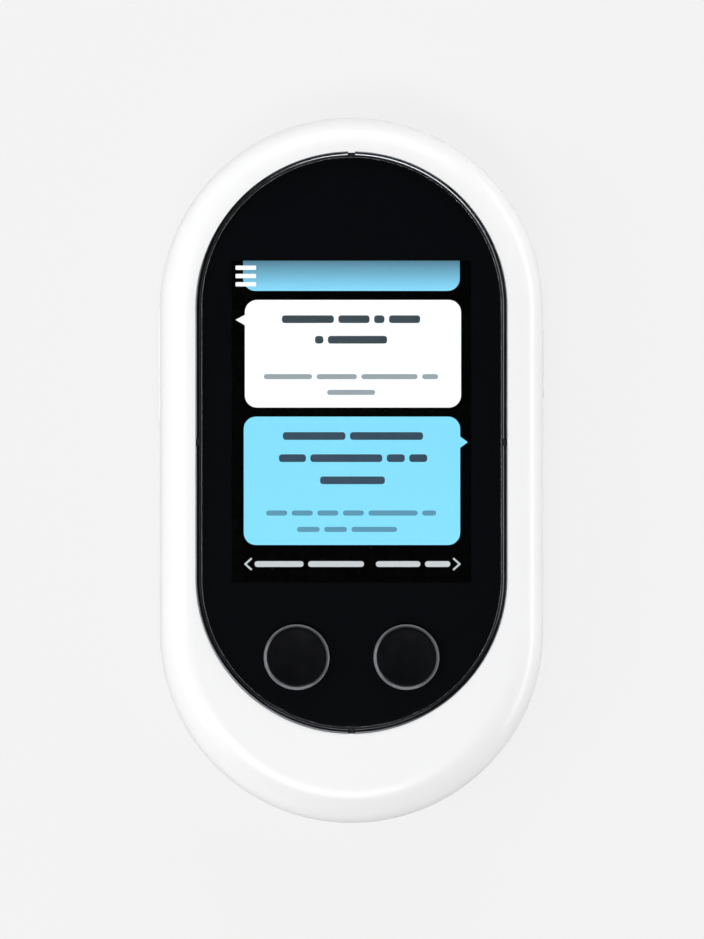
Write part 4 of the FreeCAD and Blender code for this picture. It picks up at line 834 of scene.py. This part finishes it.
def trim_quarter(side_name, end_name):
    """One quarter of the trim: a bar with rounded shoulders, swept along its arc and straight."""
    node = "trim_" + end_name + "_" + side_name
    low, high = edges(node)
    side = 1 if side_name == "right" else -1
    end = 1 if end_name == "top" else -1
    foot = low.z
    crown = high.z
    outer = arc((-TRIM_SHOULDER, crown - TRIM_SHOULDER), TRIM_SHOULDER, 0, 90, TRIM_STEPS)
    inner_centre = (-TRIM_WIDTH + TRIM_INNER_EDGE, crown - TRIM_LEAN - TRIM_INNER_EDGE)
    inner = arc(inner_centre, TRIM_INNER_EDGE, 90, 180, TRIM_STEPS)
    profile = [(0.0, foot)] + outer + inner + [(-TRIM_WIDTH, foot)]
    half_x = trim_high.x - TRIM_SETBACK
    reach = (trim_high.y - trim_low.y) / 2 - trim_high.x
    arc_y = GLASS_Y + end * reach
    gap = min(abs(low.x), abs(high.x))
    start_y = low.y if end > 0 else high.y
    sections = [[Vector((side * (half_x + across), start_y, z)) for across, z in profile]]
    steps = ROUND_STEPS // 2
    for step in range(steps + 1):
        turn = math.pi / 2 * step / steps
        section = []
        for across, z in profile:
            radius = half_x + across
            last = math.pi / 2 - math.asin(gap / radius)
            angle = min(turn, last) if step < steps else last
            x = side * radius * math.cos(angle)
            section.append(Vector((x, arc_y + end * radius * math.sin(angle), z)))
        sections.append(section)
    bar = piece(node + "_bar", loft(sections), TRIM_CHROME, TRIM_SHARP_DEGREES)
    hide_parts(node)
    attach(bar, "casing")


for side_name in ("left", "right"):
    for end_name in ("top", "bottom"):
        trim_quarter(side_name, end_name)


def glass_sheet():
    """The cover glass, its edge ground to a small round, with two drilled holes."""
    half_x = lens_high.x
    half_y = (lens_high.y - lens_low.y) / 2
    edge = arc((-LENS_EDGE, TOP - LENS_EDGE), LENS_EDGE, 0, 90, TRIM_STEPS)
    rings = [
        ring(half_x + grow, half_y + grow, GLASS_Y, level)
        for grow, level in [(0.0, PRINT_TOP)] + edge
    ]
    sheet = piece("glass_sheet", loft(rings), GLASS)
    radius = RING_RADIUS + RING_GAP
    holes = [
        upright_cutter("glass_hole", radius, PRINT_TOP - OVERCUT, TOP + OVERCUT, c.x, c.y)
        for c in TALK_CENTRES.values()
    ]
    cut(sheet, holes)
    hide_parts("cover_lens")
    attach(sheet, "casing")


glass_sheet()


def talk_ring(side_name):
    """The thin ring round a talk button: a narrow land, then a slope down to the cap."""
    centre = TALK_CENTRES[side_name]
    profile = [
        (BORE_RADIUS, DECK_TOP),
        (RING_RADIUS, DECK_TOP),
        (RING_RADIUS, TOP - RING_BREAK),
        (RING_RADIUS - RING_BREAK, TOP),
        (RING_RADIUS - RING_LAND, TOP),
        (BORE_RADIUS, TOP - RING_DEPTH),
    ]
    band = piece("bevel_ring_" + side_name, loft(lathe(profile, centre), closed=True), RING_STEEL)
    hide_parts("talk_ring_" + side_name)
    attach(band, "casing")


def talk_cap(side_name):
    """A dished cap with a softened rim, its flange and its stem."""
    centre = TALK_CENTRES[side_name]
    low, high = edges("talk_cap_" + side_name)
    crown = high.z
    flange_top = DECK_UNDER - CAP_FLANGE_DROP
    flange_low = flange_top - CAP_FLANGE_THICKNESS
    profile = [
        (AXIS_HOLE, low.z),
        (CAP_STEM_RADIUS, low.z),
        (CAP_STEM_RADIUS, flange_low),
        (CAP_FLANGE_RADIUS, flange_low),
        (CAP_FLANGE_RADIUS, flange_top),
        (CAP_RADIUS, flange_top),
    ]
    profile += arc((CAP_RADIUS - CAP_EDGE, crown - CAP_EDGE), CAP_EDGE, 0, 90, TRIM_STEPS)
    edge = CAP_RADIUS - CAP_EDGE
    for step in range(1, FILLET_STEPS + 1):
        radius = edge * (1 - step / FILLET_STEPS)
        drop = CAP_DISH * (1 - (radius / edge) ** 2)
        profile.append((max(radius, AXIS_HOLE), crown - drop))
    cap = piece("talk_button_" + side_name + "_cap", loft(lathe(profile, centre)), BUTTON)
    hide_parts("talk_cap_" + side_name)
    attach(cap, "talk_button_" + side_name)


def snap_dome(side_name):
    """The steel dome under a talk button, on a mesh of its own."""
    low, high = edges("talk_dome_" + side_name)
    centre = (low + high) / 2
    height = high.z - low.z
    profile = []
    for step in range(FILLET_STEPS + 1):
        angle = math.pi / 2 * step / FILLET_STEPS
        radius = max((high.x - low.x) / 2 * math.cos(angle), AXIS_HOLE)
        profile.append((radius, low.z + height * math.sin(angle)))
    dome = piece("snap_dome_" + side_name, loft(lathe(profile, centre)), STEEL)
    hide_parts("talk_dome_" + side_name)
    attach(dome, "casing")
    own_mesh(dome)


for side_name in TALK_CENTRES:
    talk_ring(side_name)
    talk_cap(side_name)
    snap_dome(side_name)


# Side keys


def side_key(name, node, body, side):
    """A pill key with a rounded edge, and the flange that holds it behind the wall."""
    low, high = edges(node)
    length = high.y - low.y - 2 * KEY_FLANGE_OVERHANG
    middle = (low.y + high.y) / 2
    face_x = max(abs(low.x), abs(high.x))
    front_x = INNER_X - (POWER_FLANGE_GAP if side > 0 else VOLUME_FLANGE_GAP)
    back_x = front_x - KEY_FLANGE_THICKNESS
    edge = arc((-KEY_EDGE, face_x - KEY_EDGE), KEY_EDGE, 0, 90, TRIM_STEPS)
    flange = [(KEY_FLANGE_OVERHANG, back_x), (KEY_FLANGE_OVERHANG, front_x)]
    rings = []
    for grow, x in flange + [(0.0, front_x)] + edge:
        points = ring(KEY_HEIGHT / 2 + grow, length / 2 + grow, 0.0, 0.0, PORT_STEPS)
        rings.append([Vector((side * x, middle + p.y, BAND_MIDDLE + p.x)) for p in points])
    key = sharpen(piece(name, loft(rings), WHITE))
    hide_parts(node)
    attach(key, body)


side_key("power_pill", "power_key", "power_button", 1)
side_key("volume_pill", "volume_key", "volume_rocker", -1)


# Gold contacts

card_low, card_high = edges("sim_card")
card_y = (card_low.y + card_high.y) / 2
for index in range(2):
    row_x = card_high.x - CARD_PAD_INSET - CARD_PAD_SPREAD * index
    pad_row(
        "card_pads_%d" % (index + 1),
        CARD_PAD_COUNT,
        (row_x, card_y - CARD_PAD_PITCH * (CARD_PAD_COUNT - 1) / 2, card_high.z),
        (0.0, CARD_PAD_PITCH, 0.0),
        (CARD_PAD_LENGTH, CARD_PAD_WIDTH, PAD_THICKNESS),
        "sim_drawer",
    )
tongue_low, tongue_high = edges("usb_tongue")
for face_name, face_z in (("upper", tongue_high.z), ("lower", tongue_low.z)):
    pad_row(
        "usb_pads_" + face_name,
        USB_PAD_COUNT,
        (
            -USB_PAD_PITCH * (USB_PAD_COUNT - 1) / 2,
            tongue_low.y + USB_PAD_INSET + USB_PAD_LENGTH / 2,
            face_z,
        ),
        (USB_PAD_PITCH, 0.0, 0.0),
        (USB_PAD_WIDTH, USB_PAD_LENGTH, PAD_THICKNESS),
        "casing",
    )


# Screen picture, drawn with plain bars and bubbles. X runs right and Y runs up.

SCREEN_TOP_BORDER = 16.095
SCREEN_CHIN_BORDER = 22.6
SCREEN_TOP = lens_high.y - SCREEN_TOP_BORDER
SCREEN_CHIN = lens_low.y + SCREEN_CHIN_BORDER
LIGHT_STEP = 0.012
CORNER = 1.9
SKY_BAR_LOW = SCREEN_TOP - 4.72
SKY_BAR_TOP = SCREEN_TOP - 0.02
SKY_FADE_LOW = SCREEN_TOP - 4.7
MENU_TOP = SCREEN_TOP - 0.78
MENU_PITCH = 1.29
MENU_HEIGHT = 0.67
MENU_CORNER = 0.15
WORD_SPACE = 0.7
WORD_CORNER = 0.45
ARROW_Y = -14.6
ARROW_REACH = 0.55
ARROW_RISE = 1.0
ARROW_THICKNESS = 0.2


def rounded_box(x, y, corners, steps=8):
    """Points of a box whose corners are rounded: lower left, lower right, upper right, upper left."""
    places = (
        (x[0], y[0], 1, 1, 180),
        (x[1], y[0], -1, 1, 270),
        (x[1], y[1], -1, -1, 0),
        (x[0], y[1], 1, -1, 90),
    )
    points = []
    for (px, py, sx, sy, start), radius in zip(places, corners):
        if radius == 0:
            points.append((px, py))
        else:
            centre = (px + sx * radius, py + sy * radius)
            points += arc(centre, radius, start, start + 90, steps)
    return points


def lit_shape(name, outline, material, layer):
    """A thin flat patch of lit pixels on the panel, one of a few layers."""
    low = SENSOR_TOP + LIGHT_STEP * (2 * layer - 1)
    rings = [[Vector((x, y, level)) for x, y in outline] for level in (low, low + LIGHT_STEP)]
    patch = piece(name, loft(rings), material)
    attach(patch, "casing")
    return patch


SKY = lit_pixels("lit_sky_bar", "#83D8FA", "#46768C", SKY_FADE_LOW, SCREEN_TOP)
PAPER = lit_pixels("lit_white_bubble", "#FEFEFE", "#FBFCFD", SCREEN_CHIN, SCREEN_TOP)
AQUA = lit_pixels("lit_blue_bubble", "#7FDCFC", "#7BD7F9", SCREEN_CHIN, SCREEN_TOP)
DARK_TEXT = lit_pixels("lit_dark_text", "#2A3A44", "#22323C", SCREEN_CHIN, SCREEN_TOP)
GREY_TEXT = lit_pixels("lit_grey_text", "#9AA4AA", "#8F9AA0", SCREEN_CHIN, SCREEN_TOP)
NAVY_TEXT = lit_pixels("lit_navy_text", "#123A52", "#0F3348", SCREEN_CHIN, SCREEN_TOP)
SLATE_TEXT = lit_pixels("lit_slate_text", "#4E90AC", "#4786A1", SCREEN_CHIN, SCREEN_TOP)
PALE_TEXT = lit_pixels("lit_pale_text", "#FFFFFF", "#F8FBFB", SCREEN_CHIN, SCREEN_TOP)
FOOT_TEXT = lit_pixels("lit_foot_text", "#C4C8CA", "#BFC3C5", SCREEN_CHIN, SCREEN_TOP)

lit_shape(
    "sky_bar",
    rounded_box((-16.89, 16.87), (SKY_BAR_LOW, SKY_BAR_TOP), (CORNER, CORNER, 0, 0)),
    SKY,
    1,
)
for index in range(3):
    top = MENU_TOP - MENU_PITCH * index
    bar = rounded_box((-18.07, -14.86), (top - MENU_HEIGHT, top), (MENU_CORNER,) * 4)
    lit_shape("menu_bar_%d" % (index + 1), bar, PALE_TEXT, 2)

paper = rounded_box((-16.62, 17.07), (9.78, 26.56), (CORNER,) * 4)
lit_shape("white_bubble", paper, PAPER, 1)
tail = [(-18.07, 23.45), (-16.4, 22.5), (-16.4, 24.35)]
lit_shape("white_tail", tail, PAPER, 1)
aqua = rounded_box((-16.79, 16.93), (-11.63, 8.37), (CORNER,) * 4)
lit_shape("blue_bubble", aqua, AQUA, 1)
tail = [(18.12, 4.39), (16.7, 5.44), (16.7, 3.35)]
lit_shape("blue_tail", tail, AQUA, 1)


def text_line(name, x, y, word_shares, material):
    """A row of bars, each with its own share of the row, with even spaces between."""
    room = (x[1] - x[0]) - WORD_SPACE * (len(word_shares) - 1)
    start = x[0]
    for index, share in enumerate(word_shares):
        end = start + room * share / sum(word_shares)
        height = (y[1] - y[0]) / 2
        bar = rounded_box((start, end), y, (min(height, WORD_CORNER),) * 4, 5)
        lit_shape("%s_%d" % (name, index + 1), bar, material, 2)
        start = end + WORD_SPACE


text_line("white_first", (-10.85, 10.7), (22.95, 24.15), (5, 3, 1, 3), DARK_TEXT)
text_line("white_second", (-5.7, 5.55), (19.75, 20.95), (1, 7), DARK_TEXT)
text_line("white_third", (-13.65, 13.5), (14.2, 15.0), (6, 5, 7, 2), GREY_TEXT)
text_line("white_fourth", (-3.8, 3.7), (11.75, 12.55), (7,), GREY_TEXT)
text_line("blue_first", (-10.7, 11.15), (4.75, 5.95), (6, 7), NAVY_TEXT)
text_line("blue_second", (-11.3, 11.8), (1.3, 2.5), (3, 8, 2, 2), NAVY_TEXT)
text_line("blue_third", (-4.9, 5.2), (-2.15, -0.95), (8,), NAVY_TEXT)
text_line("blue_fourth", (-13.3, 13.2), (-7.05, -6.25), (3, 3, 3, 3, 7, 2), SLATE_TEXT)
text_line("blue_fifth", (-8.5, 7.1), (-9.6, -8.8), (3, 3, 6), SLATE_TEXT)
text_line("foot_left", (-15.1, 1.95), (-15.05, -14.15), (7, 8), FOOT_TEXT)
text_line("foot_right", (3.8, 15.4), (-15.05, -14.15), (7, 4), FOOT_TEXT)


def chevron(name, x, way):
    """A small arrow head that points left or right."""
    reach, rise, thick = ARROW_REACH, ARROW_RISE, ARROW_THICKNESS
    points = [
        (x + way * reach, ARROW_Y),
        (x - way * reach, ARROW_Y + rise),
        (x - way * (reach + thick), ARROW_Y + rise - thick),
        (x + way * (reach - 2 * thick), ARROW_Y),
        (x - way * (reach + thick), ARROW_Y - rise + thick),
        (x - way * reach, ARROW_Y - rise),
    ]
    lit_shape(name, points, FOOT_TEXT, 2)


chevron("left_arrow", -16.2, -1)
chevron("right_arrow", 16.5, 1)


# Materials for the CAD nodes that stay

NODE_FINISH = {
    "bezel_frame": FRAME_BLACK,
    "lens_mask": INK,
    "touch_sensor": PANEL,
    "lens_adhesive": FOAM,
    "lcd_panel": PANEL,
    "backlight_frame": FRAME_BLACK,
    "display_foam": FOAM,
    "lcd_flex": FILM,
    "display_connector": CHIP,
    "sim_tray": WHITE,
    "power_dome": STEEL,
    "volume_dome_up": STEEL,
    "volume_dome_down": STEEL,
    "power_key_bracket": STEEL,
    "volume_key_bracket": STEEL,
    "power_key_flex": FILM,
    "volume_key_flex": FILM,
    "main_board": BOARD,
    "processor_shield": STEEL,
    "radio_shield": STEEL,
    "board_chips": CHIP,
    "usb_shell": STEEL,
    "usb_tongue": FRAME_BLACK,
    "sim_socket": STEEL,
    "sim_card": CARD,
    "battery_cell": POUCH,
    "battery_tape": FOAM,
    "battery_lead": FILM,
    "speaker_left": FRAME_BLACK,
    "speaker_right": FRAME_BLACK,
    "speaker_gasket_left": FOAM,
    "speaker_gasket_right": FOAM,
    "speaker_mesh_left": CLOTH,
    "speaker_mesh_right": CLOTH,
    "microphone_top": STEEL,
    "microphone_bottom": STEEL,
    "mic_gasket_top": RUBBER,
    "mic_gasket_bottom": RUBBER,
    "cellular_antenna": FILM,
    "wifi_antenna": FILM,
    "case_screws": STEEL,
    "board_screws": STEEL,
}
for node_name, material in NODE_FINISH.items():
    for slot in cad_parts[node_name].material_slots:
        slot.material = material


# Stage: floor, world, lamps and camera

BACKDROP = "#F2F2F2"
FLOOR_HALF_WIDTH = 12.0
FLOOR_DROP = 0.0001
FLOOR_SHADOW_SHARE = 0.15
WORLD_STRENGTH = 0.5


def backdrop_floor():
    """A wide pale sheet: to the camera mostly its own even colour, plus the object's shadow."""
    mesh = bmesh.new()
    half = FLOOR_HALF_WIDTH
    corners = ((-half, -half), (half, -half), (half, half), (-half, half))
    mesh.faces.new([mesh.verts.new((x, y, -FLOOR_DROP)) for x, y in corners])
    material = bpy.data.materials.new("paper_sweep")
    material.use_nodes = True
    tree = material.node_tree
    tree.nodes.clear()
    paper = add(tree, "ShaderNodeBsdfDiffuse", {"Color": hue("#C4C4C4")})
    even = add(tree, "ShaderNodeEmission", {"Color": hue("#FAFAFA"), "Strength": 1.0})
    seen = add(
        tree,
        "ShaderNodeMixShader",
        {0: FLOOR_SHADOW_SHARE},
        {1: even.outputs[0], 2: paper.outputs[0]},
    )
    path = add(tree, "ShaderNodeLightPath")
    both = add(
        tree,
        "ShaderNodeMath",
        {"operation": "MAXIMUM"},
        {0: path.outputs["Is Camera Ray"], 1: path.outputs["Is Transmission Ray"]},
    )
    pick = add(
        tree,
        "ShaderNodeMixShader",
        links={0: both.outputs[0], 1: paper.outputs[0], 2: seen.outputs[0]},
    )
    add(tree, "ShaderNodeOutputMaterial", links={"Surface": pick.outputs[0]})
    piece("paper_floor", mesh, material)


backdrop_floor()


def studio_world():
    """Pale at the horizon, dark overhead: flat glass mirrors only the dark part."""
    world = bpy.data.worlds.new("studio")
    bpy.context.scene.world = world
    world.use_nodes = True
    tree = world.node_tree
    tree.nodes.clear()
    look = add(tree, "ShaderNodeTexCoord").outputs["Generated"]
    up = add(tree, "ShaderNodeSeparateXYZ", links={"Vector": look}).outputs["Z"]
    share = ramp(tree, up, 0.0, 1.0, 0.35, 0.8)
    tone = blend_colours(tree, share, BACKDROP, "#101010")
    light = add(tree, "ShaderNodeBackground", {"Strength": WORLD_STRENGTH}, {"Color": tone})
    shown = add(tree, "ShaderNodeBackground", {"Color": hue(BACKDROP), "Strength": 1.0})
    path = add(tree, "ShaderNodeLightPath")
    pick = add(
        tree,
        "ShaderNodeMixShader",
        links={0: path.outputs["Is Camera Ray"], 1: light.outputs[0], 2: shown.outputs[0]},
    )
    add(tree, "ShaderNodeOutputWorld", links={"Surface": pick.outputs[0]})


studio_world()


def softbox(name, place, size, power):
    """A rectangular lamp that faces the object."""
    lamp = bpy.data.lights.new(name, "AREA")
    lamp.shape = "RECTANGLE"
    lamp.size, lamp.size_y = size
    lamp.energy = power
    shape = bpy.data.objects.new(name, lamp)
    bpy.context.scene.collection.objects.link(shape)
    shape.location = place
    shape.rotation_euler = (-Vector(place)).to_track_quat("-Z", "Y").to_euler()


# Name, place in metres, width and height in metres, watts
SOFTBOXES = (
    ("left_softbox", (-1.2, -0.3, 1.0), (1.4, 1.1), 12.2),
    ("right_softbox", (1.4, 0.12, 0.1), (2.2, 0.18), 11.8),
    ("top_softbox", (0.05, 1.42, 0.62), (1.8, 0.8), 13.4),
    ("chin_softbox", (-0.15, -0.5, 1.2), (0.7, 0.4), 7.4),
)
for softbox_values in SOFTBOXES:
    softbox(*softbox_values)

# Camera: straight overhead, a long way off, set to the scale of the picture
PHOTO_WIDTH, PHOTO_HEIGHT = 704, 939
PHOTO_SCALE = 0.15603
BODY_MIDDLE_PIXEL = (351.5, 470.35)
CAMERA_DISTANCE = 5.0
CAMERA_REACH = 100.0
SENSOR = 36.0
camera_data = bpy.data.cameras.new("camera")
camera = bpy.data.objects.new("camera", camera_data)
bpy.context.scene.collection.objects.link(camera)
camera_data.sensor_fit = "VERTICAL"
camera_data.sensor_height = SENSOR
camera_data.sensor_width = SENSOR
camera_data.lens = SENSOR * CAMERA_DISTANCE / (PHOTO_HEIGHT * PHOTO_SCALE * MM)
shift_x = (PHOTO_WIDTH / 2 - BODY_MIDDLE_PIXEL[0]) * PHOTO_SCALE
shift_y = (BODY_MIDDLE_PIXEL[1] - PHOTO_HEIGHT / 2) * PHOTO_SCALE
camera.location = (shift_x * MM, shift_y * MM, CAMERA_DISTANCE + BAND_MIDDLE * MM)
camera_data.clip_end = CAMERA_REACH
bpy.context.scene.camera = camera
bpy.context.scene.view_settings.view_transform = "Standard"

bpy.context.view_layer.update()
